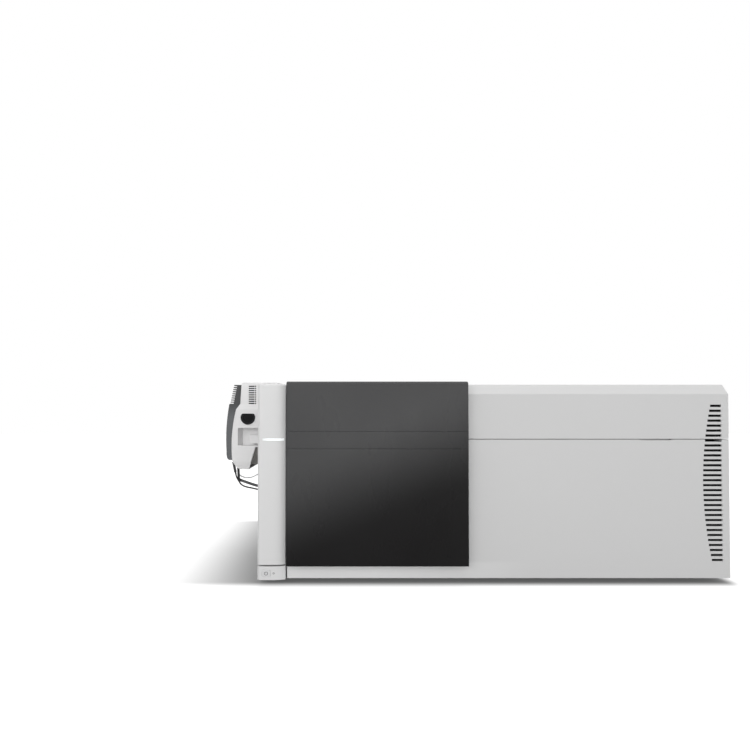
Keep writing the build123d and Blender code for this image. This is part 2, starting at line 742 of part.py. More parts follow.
# The dark end cover wraps the shell's left side, and its upper part carries cooling ribs ----------------
rib_count = 9
rib_pitch = 5.6
rib_gap = 2.8
rib_depth = 9.0
cover_top = source_top - 6.0
cover_shoulder = source_top - 58.0
cover_foot = source_bottom + 25.0
rib_base = cover_shoulder + 3.0
end_cover_inset = 3.0       # behind the shell's front and in front of its back
end_cover_depth = source_depth - 2 * end_cover_inset
x_end = x_left - source_reach
rib_foot = x_end + 10.7
rib_head = x_wall - 121.6
with BuildSketch() as shell_clearance:
    source_outline()
    offset(amount=fit)
with BuildPart() as source_end_cover:
    with BuildSketch(plane_at_y(y_source + end_cover_inset)):
        with BuildLine():
            ThreePointArc(
                (x_end + 1, cover_foot + 24), (x_end, cover_foot + 52), (x_end + 8.1, cover_shoulder)
            )
            Polyline(
                (x_end + 8.1, cover_shoulder),
                (rib_foot, cover_shoulder + 1),
                (rib_head, cover_top),
                (x_wall - 90, cover_top),
                (x_wall - 90, cover_foot),
                (x_wall - 134, cover_foot),
            )
            Bezier((x_wall - 134, cover_foot), (x_end, cover_foot + 2), (x_end + 1, cover_foot + 24))
        make_face()
        add(shell_clearance.sketch, mode=Mode.SUBTRACT)
    extrude(amount=-end_cover_depth)
    with BuildSketch(plane_at_y(y_source)):
        with BuildLine():
            Polyline(
                (x_end - 5, cover_shoulder + 1),
                (rib_foot + rib_depth, cover_shoulder + 1),
                (rib_head + rib_depth, cover_top),
                (x_end - 5, cover_top),
                close=True,
            )
        make_face()
        with Locations((x_end, rib_base + (rib_count - 1) / 2 * rib_pitch)):
            with GridLocations(1, rib_pitch, 1, rib_count):
                Rectangle(100, rib_gap, mode=Mode.INTERSECT)
    extrude(amount=-source_depth, mode=Mode.SUBTRACT)
save(source_end_cover.part, "source_end_cover")

# Spray chamber: a cast body that flares away from its sealing face, bored along the ion axis ------------
chamber_neck = 54.0         # radius at the sealing face
chamber_flare = 98.0        # radius where the flare ends
x_flare = x_wall - 80.0
x_chamber = x_wall - 112.0
chamber_front = y_source + latch_pocket_depth + shell_wall + fit
chamber_back = y_source_back - shell_wall - fit
nebulizer_radius = 9.0
chamber_top = z_ion + 90.0
chamber_bottom = z_ion - 94.0
chamber_block_z = (z_ion - 90.0, z_ion + 56.0)
chamber_bore_depth = 97.5
with BuildPart() as spray_chamber:
    with BuildSketch(plane_at_y(y_ion)):
        with BuildLine():
            Polyline(
                (x_seal, z_ion),
                (x_seal, z_ion + chamber_neck),
                (x_flare, z_ion + chamber_flare),
                (x_flare, z_ion),
                close=True,
            )
        make_face()
    revolve(axis=Axis((x_seal, y_ion, z_ion), (1, 0, 0)))
    chamber_y = (chamber_front, chamber_back)
    block((x_chamber, x_seal), chamber_y, (chamber_bottom, chamber_top), mode=Mode.INTERSECT)
    block((x_chamber, x_flare), chamber_y, chamber_block_z)
    with BuildSketch(plane_at_x(x_seal)):
        with Locations((y_ion, z_ion)):
            Circle(chamber_bore)
    extrude(amount=-chamber_bore_depth, mode=Mode.SUBTRACT)
    with Locations((x_spray, y_ion, z_ion)):
        Cylinder(nebulizer_radius, 120, align=on_base, mode=Mode.SUBTRACT)
    with BuildSketch(plane_at_y(chamber_front)):
        with Locations((x_window, z_window)):
            Circle(glass_radius)
    extrude(amount=chamber_front - y_ion, mode=Mode.SUBTRACT)
save(spray_chamber.part, "spray_chamber")

# Inspection window: a dark bezel, cut flat on top, and a glass that reaches back to the chamber ----------
bezel_proud = 1.5
bezel_lip = 2.0             # the bezel's flat top is this thick over the glass


window_corner = 4.0
bezel_corner = 6.0


def window_opening(outline):
    """The glass's outline, in the sketch given: round, with the bezel's flat top and eased corners."""
    with Locations((x_window, z_window)):
        Circle(glass_radius)
    rectangle_between(
        (x_window - glass_radius, x_window + glass_radius),
        (z_window - glass_radius, z_window + bezel_flat - bezel_lip),
        mode=Mode.INTERSECT,
    )
    fillet(outline.vertices(), radius=window_corner)


with BuildPart() as window_bezel:
    with BuildSketch(plane_at_y(y_source - bezel_proud)) as flange:
        with Locations((x_window, z_window)):
            Circle(bezel_radius)
        rectangle_between(
            (x_window - bezel_radius, x_window + bezel_radius),
            (z_window - bezel_radius, z_window + bezel_flat),
            mode=Mode.INTERSECT,
        )
        fillet(flange.vertices(), radius=bezel_corner)
    extrude(amount=-bezel_proud)
    with BuildSketch(plane_at_y(y_source - bezel_proud)):
        with Locations((x_window, z_window)):
            Circle(glass_radius + 2 - fit)
        rectangle_between(
            (x_window - bezel_radius, x_window + bezel_radius),
            (z_window - bezel_radius, z_window + bezel_flat - fit),
            mode=Mode.INTERSECT,
        )
    extrude(amount=y_source - bezel_proud - chamber_front)
    with BuildSketch(plane_at_y(y_source - bezel_proud)) as opening:
        window_opening(opening)
    extrude(amount=y_source - bezel_proud - chamber_front, mode=Mode.SUBTRACT)
save(window_bezel.part, "window_bezel")

with BuildPart() as window_glass:
    with BuildSketch(plane_at_y(y_source + 1)) as opening:
        window_opening(opening)
    extrude(amount=-4)
save(window_glass.part, "window_glass")

# Latch lever: it pivots on a pin at the right end of its pocket and is pulled out by its left end --------
lever_radius = 5.0
lever_pin_radius = 2.5
lever_thickness = 8.0
lever_length = 54.5
lever_height = 22.6
lever_lift = 6.0            # over the pocket's floor
lever_setback = 1.2
x_lever = pocket_x[1] - 8.0
y_lever = y_source + lever_setback + lever_radius
lever_base = pocket_z[0] + lever_lift
with BuildPart() as latch_lever:
    with BuildSketch(Plane.XY.offset(lever_base)):
        with Locations((x_lever, y_lever)):
            Circle(lever_radius)
        with BuildLine():
            Polyline(
                (x_lever, y_lever - lever_radius),
                (x_lever - lever_length, y_lever - lever_radius),
                (x_lever - lever_length, y_lever - lever_radius + 5),
                (x_lever - lever_length + 10, y_lever - lever_radius + lever_thickness),
                (x_lever, y_lever + lever_radius),
                close=True,
            )
        make_face()
        with Locations((x_lever, y_lever)):
            Circle(lever_pin_radius + running_fit, mode=Mode.SUBTRACT)
    extrude(amount=lever_height)
    fillet(latch_lever.edges().filter_by(Axis.Z).sort_by(Axis.X)[0], radius=1.5)
save(latch_lever.part, "latch_lever")

with BuildPart() as latch_pin:
    with Locations((x_lever, y_lever, pocket_z[0])):
        Cylinder(lever_pin_radius, pocket_z[1] - pocket_z[0], align=on_base)
save(latch_pin.part, "latch_pin")

# Nebulizer: it drops into the chamber from a well in the shell's top -------------------------------------
nebulizer_tip_radius = 2.2
tip_height = z_ion + 16.0
inlet_radius = 2.6
inlet_depth = 9.0
nebulizer_top = source_top - 6.0
with BuildPart() as nebulizer:
    with BuildSketch(plane_at_y(y_ion)):
        with BuildLine():
            Polyline(
                (x_spray, tip_height),
                (x_spray + nebulizer_tip_radius, tip_height),
                (x_spray + nebulizer_tip_radius, tip_height + 14),
                (x_spray + nebulizer_radius - 1, tip_height + 22),
                (x_spray + nebulizer_radius - 1, nebulizer_top),
                (x_spray, nebulizer_top),
                close=True,
            )
        make_face()
    revolve(axis=Axis((x_spray, y_ion, 0), (0, 0, 1)))
    with Locations((x_spray, y_ion, nebulizer_top)):
        Cylinder(inlet_radius, 2 * inlet_depth, mode=Mode.SUBTRACT)
save(nebulizer.part, "nebulizer")

thumb_nut_radius = 17.0
thumb_nut_height = 20.0
thumb_nut_flutes = 12
with BuildPart() as nebulizer_nut:
    with BuildSketch(Plane.XY.offset(chamber_top)):
        with Locations((x_spray, y_ion)):
            Circle(thumb_nut_radius)
            with PolarLocations(thumb_nut_radius + 1.2, thumb_nut_flutes):
                Circle(2.4, mode=Mode.SUBTRACT)
            Circle(nebulizer_radius - 1, mode=Mode.SUBTRACT)
    extrude(amount=thumb_nut_height)
save(nebulizer_nut.part, "nebulizer_nut")

# Ion inlet on the end panel: interface plate, spray shield and capillary cap ------------------------------
plate_radius = 62.0
plate_thickness = seal_gap - fit
shield_radius = 30.0
shield_tip_radius = 12.0
shield_length = 20.0
shield_wall = 1.6
capillary_radius = 3.2
shield_hole = 5.0
with BuildPart() as interface_plate:
    with BuildSketch(plane_at_x(x_wall - plate_thickness)):
        with Locations((y_ion, z_ion)):
            Circle(plate_radius)
            Circle(lens_bore - 8, mode=Mode.SUBTRACT)
    extrude(amount=plate_thickness)
save(interface_plate.part, "interface_plate")

x_shield = x_wall - plate_thickness
with BuildPart() as spray_shield:
    with BuildSketch(plane_at_y(y_ion)):
        with BuildLine():
            Polyline(
                (x_shield, z_ion + shield_radius),
                (x_shield - 3, z_ion + shield_radius),
                (x_shield - shield_length, z_ion + shield_tip_radius),
                (x_shield - shield_length, z_ion + shield_hole),
                (x_shield - shield_length + shield_wall, z_ion + shield_hole),
                (x_shield - shield_length + shield_wall, z_ion + shield_tip_radius - 1),
                (x_shield - 3, z_ion + shield_radius - 2.4),
                (x_shield, z_ion + shield_radius - 2.4),
                close=True,
            )
        make_face()
    revolve(axis=Axis((x_wall, y_ion, z_ion), (1, 0, 0)))
save(spray_shield.part, "spray_shield")

with BuildPart() as capillary_cap:
    with BuildSketch(plane_at_y(y_ion)):
        with BuildLine():
            Polyline(
                (x_wall + sheet, z_ion + 1),
                (x_shield - shield_length + 5, z_ion + 1),
                (x_shield - shield_length + 5, z_ion + capillary_radius),
                (x_shield - 4, z_ion + 9),
                (x_shield, z_ion + 9),
                (x_shield, z_ion + lens_bore - 8),
                (x_wall + sheet, z_ion + lens_bore - 8),
                close=True,
            )
        make_face()
    revolve(axis=Axis((x_wall, y_ion, z_ion), (1, 0, 0)))
save(capillary_cap.part, "capillary_cap")

cords = {
    "heater_cable": (heater_cable_points, heater_cable_radius),
    "hv_cable": (hv_cable_points, hv_cable_radius),
    "drain_tube": (drain_tube_points, drain_tube_radius),
}
for name, (points, radius) in cords.items():
    radii = cord_corners(points)
    with BuildPart() as cord:
        with BuildLine() as route:
            FilletPolyline(*points, radius=radii)
        with BuildSketch(Plane(origin=points[0], z_dir=Vector(*points[1]) - Vector(*points[0]))):
            Circle(radius)
        sweep(path=route.wire())
    length = route.wire().length
    expected = pi * radius**2 * length
    print(f"{name}: length {length:.1f}, radii {[round(value, 1) for value in radii]}")
    print(f"{name}: volume {cord.part.volume:.1f}, section times length {expected:.1f}")
    save(cord.part, name)

# Boots that carry the cords out of the source's underside, and glands on the end panel ---------------
for name, (top, points, radius) in boots.items():
    knee = behind(points, boot_taper)
    body = knee - top
    tip_run = Vector(*points[0]) - knee
    with BuildPart() as boot:
        with Locations(Plane(origin=top, z_dir=body)):
            Cylinder(boot_radius, body.length, align=on_base)
        with Locations(knee):
            Sphere(boot_radius + boot_lip)
        with Locations(Plane(origin=knee, z_dir=tip_run)):
            Cylinder(radius + boot_lip, tip_run.length, align=on_base)
    save(boot.part, name)

gland_wall = 2.0
gland_nut_wall = 3.6
with BuildPart() as wall_glands:
    for top, points, radius in boots.values():
        entry = (points[-1][1], points[-1][2])
        with BuildSketch(plane_at_x(x_gland)):
            with Locations(entry):
                Circle(radius + gland_wall)
        extrude(amount=gland_reach)
        with BuildSketch(plane_at_x(x_wall - gland_reach / 2)):
            with Locations(entry):
                RegularPolygon(radius + gland_nut_wall, 6)
        extrude(amount=gland_reach / 2)
save(wall_glands.part, "wall_glands")

# Base chassis: a folded tray on four feet ----------------------------------------------------------------
chassis_x = (x_wall + sheet, x_right - wall)
chassis_y = (y_front + panel_return, y_back - panel_return)
chassis_flange = 28.0
with BuildPart() as base_chassis:
    with BuildSketch(Plane.XY.offset(z_bottom)):
        rectangle_between(chassis_x, chassis_y)
        rectangle_between((x_left, x_bay), (y_front, y_corner_back), mode=Mode.SUBTRACT)
    extrude(amount=chassis_flange)
    offset(amount=-sheet, openings=base_chassis.faces().sort_by(Axis.Z)[-1])
save(base_chassis.part, "base_chassis")

foot_radius = 17.0
foot_inset = 48.0
foot_x = (chassis_x[0] + foot_inset, chassis_x[1] - foot_inset)
foot_y = (chassis_y[0] + foot_inset, chassis_y[1] - foot_inset)
with BuildPart() as feet:
    with Locations(*[(x, y, 0) for x in foot_x for y in foot_y]):
        Cone(foot_radius, foot_radius + 3, foot_height, align=on_base)
    fillet(feet.edges().group_by(Axis.Z)[0], radius=1.5)
save(feet.part, "feet")

# Rear panel: a tray like the lower front panel, with fan guards and cut-outs for the sockets ----------------
fan_size = 120.0
fan_depth = 25.0
fan_bore = 57.0
fan_centres = [(x_right - 110.0, z_bottom + 150.0), (x_right - 260.0, z_bottom + 150.0)]
guard_rings = 4
guard_bar = 2.0
guard_spokes = 3
hub_radius = 19.0
socket_x = x_right - 430.0
socket_z = z_bottom + 60.0
socket_width = 48.0
socket_height = 28.0
data_x = x_right - 520.0
data_width = 17.0
data_height = 14.0
jack_width = 12.0
jack_height = 7.5
jack_depth = 12.0
with BuildPart() as rear_panel:
    with BuildSketch(plane_at_y(y_back)):
        rectangle_between((x_wall, x_right), (z_bottom, z_seam - seam / 2))
    extrude(amount=panel_return)
    fillet(rear_panel.edges().filter_by(Axis.Z).sort_by(Axis.X)[-2:].sort_by(Axis.Y)[-1], radius=cover_radius)
    offset(amount=-wall, openings=rear_panel.faces().sort_by(Axis.Y)[0])
    with BuildSketch(plane_at_y(y_back)):
        ring_step = (fan_bore - hub_radius) / guard_rings
        for centre in fan_centres:
            with Locations(centre):
                for ring in reversed(range(guard_rings)):
                    inner = hub_radius + ring * ring_step
                    Circle(inner + ring_step)
                    Circle(inner + guard_bar, mode=Mode.SUBTRACT)
                with PolarLocations(0, guard_spokes):
                    Rectangle(2 * fan_bore + 4, 2 * guard_bar, mode=Mode.SUBTRACT)
        with Locations((socket_x, socket_z)):
            Rectangle(socket_width, socket_height)
        with Locations((data_x, socket_z)):
            Rectangle(data_width, data_height)
    extrude(amount=wall + 1, mode=Mode.SUBTRACT)
save(rear_panel.part, "rear_panel")

# Fans: a square frame behind each guard, and a seven-bladed rotor on its hub -------------------------------
blade_count = 7
blade_thickness = 2.0
rotor_clear = 2.0
hub_length = 18.0
shaft_radius = 2.5
blade_pitch = 52.0          # degrees between a blade's chord and the shaft
y_fan = y_back - wall - fan_depth
with BuildPart() as fan_blade:
    with BuildSketch(Plane.YZ.offset(hub_radius - 2)):
        with Locations((0, -hub_length / 2)):
            Rectangle(blade_thickness, hub_length * 1.2, rotation=blade_pitch)
    extrude(amount=fan_bore - rotor_clear - hub_radius + 2)
for number, centre in enumerate(fan_centres, start=1):
    with BuildPart() as fan_frame:
        with BuildSketch(plane_at_y(y_back - wall)):
            with Locations(centre):
                RectangleRounded(fan_size, fan_size, 6)
                Circle(fan_bore, mode=Mode.SUBTRACT)
        extrude(amount=fan_depth)
        with BuildSketch(plane_at_y(y_fan + 3)):
            with Locations(centre):
                Circle(hub_radius)
                with PolarLocations(0, guard_spokes):
                    Rectangle(2 * fan_bore + 2, 4)
        extrude(amount=3)
        with BuildSketch(plane_at_y(y_fan + 3)):
            with Locations(centre):
                Circle(shaft_radius)
        extrude(amount=-hub_length - rotor_clear / 2)
    save(fan_frame.part, f"fan_frame_{number}")

    y_rotor = y_fan + 3 + rotor_clear / 2
    with BuildPart() as fan_rotor:
        with BuildSketch(plane_at_y(y_rotor)):
            with Locations(centre):
                Circle(hub_radius)
                Circle(shaft_radius + running_fit, mode=Mode.SUBTRACT)
        extrude(amount=-hub_length)
        with Locations(plane_at_y(y_rotor)):
            with Locations(centre):
                with PolarLocations(0, blade_count):
                    add(fan_blade.part)
    save(fan_rotor.part, f"fan_rotor_{number}")

# Sockets and ports on the rear panel -----------------------------------------------------------------------
with BuildPart() as power_inlet:
    with BuildSketch(plane_at_y(y_back + 2)):
        with Locations((socket_x, socket_z)):
            RectangleRounded(socket_width + 10, socket_height + 8, 3)
    extrude(amount=2)
    with BuildSketch(plane_at_y(y_back)):
        with Locations((socket_x, socket_z)):
            Rectangle(socket_width - 2 * fit, socket_height - 2 * fit)
    extrude(amount=26)
    with BuildSketch(plane_at_y(y_back + 2)):
        with Locations((socket_x, socket_z)):
            RectangleRounded(24.5, 17, 2)
            for offset_x, offset_z in ((-7, -2), (0, 2), (7, -2)):
                with Locations((offset_x, offset_z)):
                    Rectangle(2, 4, mode=Mode.SUBTRACT)
    extrude(amount=18, mode=Mode.SUBTRACT)
save(power_inlet.part, "power_inlet")

with BuildPart() as data_socket:
    block(
        (data_x - data_width / 2 + fit, data_x + data_width / 2 - fit),
        (y_back - 22, y_back + 0.8),
        (socket_z - data_height / 2 + fit, socket_z + data_height / 2 - fit),
    )
    jack_z = (socket_z - jack_height / 2, socket_z + jack_height / 2)
    jack_x = (data_x - jack_width / 2, data_x + jack_width / 2)
    block(jack_x, (y_back - jack_depth, y_back + 1), jack_z, mode=Mode.SUBTRACT)
save(data_socket.part, "data_socket")

foreline_x = x_wall + 330.0
foreline_z = z_bottom + 90.0
foreline_radius = 12.5
foreline_flange = 20.0
with BuildPart() as foreline_port:
    with BuildSketch(plane_at_y(y_back)):
        with Locations((foreline_x, foreline_z)):
            Circle(foreline_radius + 14)
    extrude(amount=-3)
    with BuildSketch(plane_at_y(y_back + 3)):
        with Locations((foreline_x, foreline_z)):
            Circle(foreline_radius + 2)
    extrude(amount=-port_reach + 3)
    with BuildSketch(plane_at_y(y_back + port_reach - 4)):
        with Locations((foreline_x, foreline_z)):
            Circle(foreline_flange)
    extrude(amount=-4)
    with BuildSketch(plane_at_y(y_back + port_reach)):
        with Locations((foreline_x, foreline_z)):
            Circle(foreline_radius)
    extrude(amount=port_reach, mode=Mode.SUBTRACT)
save(foreline_port.part, "foreline_port")

barb_root = 4.0
barb_tip = 3.0
barb_length = 16.0
barb_bore = 1.8
barb_teeth = 3
ports = {"gas_inlet": (x_wall + 120.0, z_bottom + 220.0), "exhaust_port": (x_wall + 200.0, z_bottom + 220.0)}
for name, centre in ports.items():
    with BuildPart() as port:
        with BuildSketch(plane_at_y(y_back)):
            with Locations(centre):
                RegularPolygon(11, 6)
        extrude(amount=-5)
        with BuildSketch(plane_at_x(centre[0])):
            tooth = barb_length / barb_teeth
            for step in range(barb_teeth):
                base = y_back + 5 + step * tooth
                with BuildLine():
                    Polyline(
                        (base, centre[1]),
                        (base, centre[1] + barb_root),
                        (base + tooth, centre[1] + barb_tip),
                        (base + tooth, centre[1]),
                        close=True,
                    )
                make_face()
        revolve(axis=Axis((centre[0], y_back, centre[1]), (0, 1, 0)))
        with Locations(Plane(origin=(centre[0], y_back + 5 + barb_length, centre[1]), z_dir=(0, 1, 0))):
            Cylinder(barb_bore, 2 * barb_length, mode=Mode.SUBTRACT)
    save(port.part, name)

# Vacuum system: a milled manifold on two stands, its lid, and two turbo pumps underneath -------------
manifold_length = 820.0
manifold_depth = 176.0
manifold_drop = 78.0        # its underside lies this far under the ion axis
manifold_rise = 62.0
manifold_wall = 14.0
lid_thickness = 14.0
manifold_x = (x_wall + sheet, x_wall + sheet + manifold_length)
manifold_y = (y_ion - manifold_depth / 2, y_ion + manifold_depth / 2)
manifold_z = (z_ion - manifold_drop, z_ion + manifold_rise)
chamber_walls = (0.22, 0.47, 0.72)
rod_bore = 16.0
with BuildPart() as vacuum_manifold:
    block(manifold_x, manifold_y, manifold_z)
    bays = [manifold_x[0] + manifold_wall / 2]
    bays += [manifold_x[0] + share * manifold_length for share in chamber_walls]
    bays += [manifold_x[1] - manifold_wall / 2]
    for left, right in zip(bays, bays[1:]):
        block(
            (left + manifold_wall / 2, right - manifold_wall / 2),
            (manifold_y[0] + manifold_wall, manifold_y[1] - manifold_wall),
            (manifold_z[0] + manifold_wall, manifold_z[1] + 1),
            mode=Mode.SUBTRACT,
        )
    with BuildSketch(plane_at_x(manifold_x[0] - 1)):
        with Locations((y_ion, z_ion)):
            Circle(rod_bore)
    extrude(amount=manifold_length - manifold_wall, mode=Mode.SUBTRACT)
save(vacuum_manifold.part, "vacuum_manifold")

with BuildPart() as manifold_lid:
    block(manifold_x, manifold_y, (manifold_z[1], manifold_z[1] + lid_thickness))
    chamfer(manifold_lid.faces().sort_by(Axis.Z)[-1].edges(), length=2)
save(manifold_lid.part, "manifold_lid")

stand_width = 70.0
z_floor = z_bottom + sheet
stand_starts = (manifold_x[0] + 40, manifold_x[1] - 40 - stand_width)
with BuildPart() as manifold_stands:
    with BuildSketch(plane_at_y(manifold_y[0])):
        for start in stand_starts:
            rectangle_between((start, start + stand_width), (z_floor, manifold_z[0]))
            rectangle_between(
                (start + wall, start + stand_width),
                (z_floor + wall, manifold_z[0] - wall),
                mode=Mode.SUBTRACT,
            )
    extrude(amount=-manifold_depth)
save(manifold_stands.part, "manifold_stands")

pump_radius = 62.0
pump_flange = 74.0
pump_height = 190.0
for number, share in enumerate((0.34, 0.6), start=1):
    pump_x = manifold_x[0] + share * manifold_length
    with BuildPart() as turbo_pump:
        with BuildSketch(plane_at_y(y_ion)):
            with BuildLine():
                Polyline(
                    (pump_x, manifold_z[0]),
                    (pump_x + pump_flange, manifold_z[0]),
                    (pump_x + pump_flange, manifold_z[0] - 12),
                    (pump_x + pump_radius, manifold_z[0] - 12),
                    (pump_x + pump_radius, manifold_z[0] - pump_height + 50),
                    (pump_x + pump_radius - 16, manifold_z[0] - pump_height + 40),
                    (pump_x + pump_radius - 16, manifold_z[0] - pump_height),
                    (pump_x, manifold_z[0] - pump_height),
                    close=True,
                )
            make_face()
        revolve(axis=Axis((pump_x, y_ion, 0), (0, 0, 1)))
    save(turbo_pump.part, f"turbo_pump_{number}")

# Electronics: a cage behind the manifold, with the power supply beside it ----------------------------
cage_x = (manifold_x[0] + 60, manifold_x[0] + 620)
cage_y = (manifold_y[1] + 24, y_back - panel_return - 20)
cage_height = 300.0
with BuildPart() as electronics_cage:
    block(cage_x, cage_y, (z_floor, z_floor + cage_height))
    offset(amount=-sheet, openings=electronics_cage.faces().sort_by(Axis.X)[-1])
save(electronics_cage.part, "electronics_cage")

board_count = 4
board_thickness = 2.0
board_margin = 12.0
board_headroom = 40.0
with BuildPart() as driver_boards:
    board_step = (cage_y[1] - cage_y[0]) / (board_count + 1)
    for slot in range(1, board_count + 1):
        board_y = cage_y[0] + slot * board_step
        block(
            (cage_x[0] + board_margin, cage_x[1] - board_margin),
            (board_y, board_y + board_thickness),
            (z_floor + sheet, z_floor + cage_height - board_headroom),
        )
save(driver_boards.part, "driver_boards")

supply_setback = 120.0      # behind the front panels
supply_depth = 210.0
supply_height = 130.0
supply_x = (manifold_x[1] + 30, x_right - 40)
supply_y = (y_front + supply_setback, y_front + supply_setback + supply_depth)
with BuildPart() as power_supply:
    block(supply_x, supply_y, (z_floor, z_floor + supply_height))
    fillet(power_supply.edges().filter_by(Axis.Y), radius=3)
save(power_supply.part, "power_supply")
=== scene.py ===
"""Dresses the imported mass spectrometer: finishes, cables, trim, and a plain studio with the camera.

Everything is in metres, in the CAD model's own frame: +X along the front, +Y back, +Z up.
"""

import json
from math import cos, pi, radians, sin

import bmesh
import bpy
from mathutils import Matrix, Vector


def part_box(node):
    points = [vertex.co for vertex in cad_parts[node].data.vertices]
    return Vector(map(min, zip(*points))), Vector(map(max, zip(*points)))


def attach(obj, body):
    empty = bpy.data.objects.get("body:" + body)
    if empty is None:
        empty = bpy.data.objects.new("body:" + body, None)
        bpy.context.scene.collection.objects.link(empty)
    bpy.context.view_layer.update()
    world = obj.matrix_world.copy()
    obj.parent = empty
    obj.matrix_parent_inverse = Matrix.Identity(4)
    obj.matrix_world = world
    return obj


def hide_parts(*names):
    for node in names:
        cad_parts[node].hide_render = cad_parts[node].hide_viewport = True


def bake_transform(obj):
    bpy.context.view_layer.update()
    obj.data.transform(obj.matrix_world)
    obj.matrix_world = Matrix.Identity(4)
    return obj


MM = 0.001
NOISE_SPREAD = (0.3, 0.7)   # nearly all of a noise's values lie between these

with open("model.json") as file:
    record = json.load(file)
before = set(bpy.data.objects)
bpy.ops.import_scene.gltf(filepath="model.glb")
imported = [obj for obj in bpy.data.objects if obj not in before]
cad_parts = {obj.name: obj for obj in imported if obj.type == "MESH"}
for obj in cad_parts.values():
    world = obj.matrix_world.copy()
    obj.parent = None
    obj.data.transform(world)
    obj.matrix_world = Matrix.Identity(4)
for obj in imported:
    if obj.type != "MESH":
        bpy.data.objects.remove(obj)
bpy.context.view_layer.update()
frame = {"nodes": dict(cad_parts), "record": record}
scene = bpy.context.scene
nodes = frame["nodes"]


# Camera -----------------------------------------------------------------------------------------
def aim_camera():
    """A wide lens before the instrument's left part, below its top and pitched slightly up."""
    right_of_door_edge = 147 * MM
    before_panel = 1121 * MM
    above_floor = 418 * MM
    pitch = radians(0.9)
    door_low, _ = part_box("front_door")
    panel_low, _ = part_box("lower_front_panel")
    camera_data = bpy.data.cameras.new("view_camera")
    camera_data.sensor_width = 36
    camera_data.lens = 22.7
    camera_data.shift_x = 0.0335
    camera_data.shift_y = 0.034
    camera_data.clip_start = 0.05
    camera = bpy.data.objects.new("view_camera", camera_data)
    camera.location = (door_low.x + right_of_door_edge, panel_low.y - before_panel, above_floor)
    camera.rotation_euler = (pi / 2 + pitch, 0, 0)
    scene.collection.objects.link(camera)
    scene.camera = camera


aim_camera()


# Materials --------------------------------------------------------------------------------------
def new_material(name):
    """A material with its node tree and its shader."""
    material = bpy.data.materials.new(name)
    material.use_nodes = True
    tree = material.node_tree
    return material, tree, tree.nodes["Principled BSDF"]


def node(tree, kind, **values):
    """A new node; each value goes to the input of that name, or else to the node's own setting."""
    made = tree.nodes.new(kind)
    for key, value in values.items():
        if key in made.inputs:
            made.inputs[key].default_value = value
        else:
            setattr(made, key, value)
    return made


def grain(tree, scale, detail=3.0, stretch=(1, 1, 1)):
    """Noise in object space, so it keeps its real size; stretch draws it out along an axis."""
    place = node(tree, "ShaderNodeTexCoord")
    mapping = node(tree, "ShaderNodeMapping", Scale=stretch)
    noise = node(tree, "ShaderNodeTexNoise", Scale=scale, Detail=detail)
    tree.links.new(place.outputs["Object"], mapping.inputs["Vector"])
    tree.links.new(mapping.outputs["Vector"], noise.inputs["Vector"])
    return noise.outputs["Fac"]


def ramp(tree, value, source, target, smooth=False):
    """Carries a value from one pair of limits to another."""
    made = node(tree, "ShaderNodeMapRange", interpolation_type="SMOOTHSTEP" if smooth else "LINEAR")
    made.inputs["From Min"].default_value, made.inputs["From Max"].default_value = source
    made.inputs["To Min"].default_value, made.inputs["To Max"].default_value = target
    tree.links.new(value, made.inputs["Value"])
    return made.outputs["Result"]


def blend_colours(tree, factor, dark, light):
    """A mix of two colours, each a triple or a socket."""
    mix = node(tree, "ShaderNodeMix", data_type="RGBA")
    tree.links.new(factor, mix.inputs["Factor"])
    for socket, colour in ((mix.inputs[6], dark), (mix.inputs[7], light)):
        if isinstance(colour, tuple):
            socket.default_value = (*colour, 1)
        else:
            tree.links.new(colour, socket)
    return mix.outputs[2]


def arithmetic(tree, operation, first, second):
    """One step of arithmetic on two values, each a number or a socket."""
    made = node(tree, "ShaderNodeMath", operation=operation)
    for socket, value in zip(made.inputs, (first, second)):
        if isinstance(value, (int, float)):
            socket.default_value = value
        else:
            tree.links.new(value, socket)
    return made.outputs[0]


def vector_step(tree, operation, first, second):
    """One step of arithmetic on two vectors, each a triple or a socket."""
    made = node(tree, "ShaderNodeVectorMath", operation=operation)
    for socket, value in zip(made.inputs, (first, second)):
        if isinstance(value, tuple):
            socket.default_value = value
        else:
            tree.links.new(value, socket)
    return made.outputs["Vector"]


def object_place(tree):
    """The X, Y and Z of a point in object space, which is the model's frame for the solids."""
    place = node(tree, "ShaderNodeSeparateXYZ")
    tree.links.new(node(tree, "ShaderNodeTexCoord").outputs["Object"], place.inputs["Vector"])
    return place.outputs


def scaled(colour, factor):
    """A colour made lighter or darker, within white."""
    return tuple(min(channel * factor, 1.0) for channel in colour)


def eased_normal(tree, radius):
    """The surface's normal with its sharp edges rounded off by a small radius."""
    bevel = node(tree, "ShaderNodeBevel", samples=6, Radius=radius)
    return bevel.outputs["Normal"]


def edge_wear(tree, normal):
    """1 on edges and corners, broken up by a noise, and 0 on flat faces."""
    geometry = node(tree, "ShaderNodeNewGeometry")
    product = node(tree, "ShaderNodeVectorMath", operation="DOT_PRODUCT")
    tree.links.new(normal, product.inputs[0])
    tree.links.new(geometry.outputs["Normal"], product.inputs[1])
    edge = ramp(tree, product.outputs["Value"], (0.99, 0.80), (0.0, 1.0))
    patches = ramp(tree, grain(tree, 90.0), (0.35, 0.65), (0.2, 1.0))
    return arithmetic(tree, "MULTIPLY", edge, patches)


def relieve(tree, shader, normal, layers):
    """Stacks bump layers of (height, strength, depth in metres) on the eased normal."""
    for height, strength, depth in layers:
        relief = node(tree, "ShaderNodeBump", Strength=strength, Distance=depth)
        tree.links.new(height, relief.inputs["Height"])
        tree.links.new(normal, relief.inputs["Normal"])
        normal = relief.outputs["Normal"]
    tree.links.new(normal, shader.inputs["Normal"])


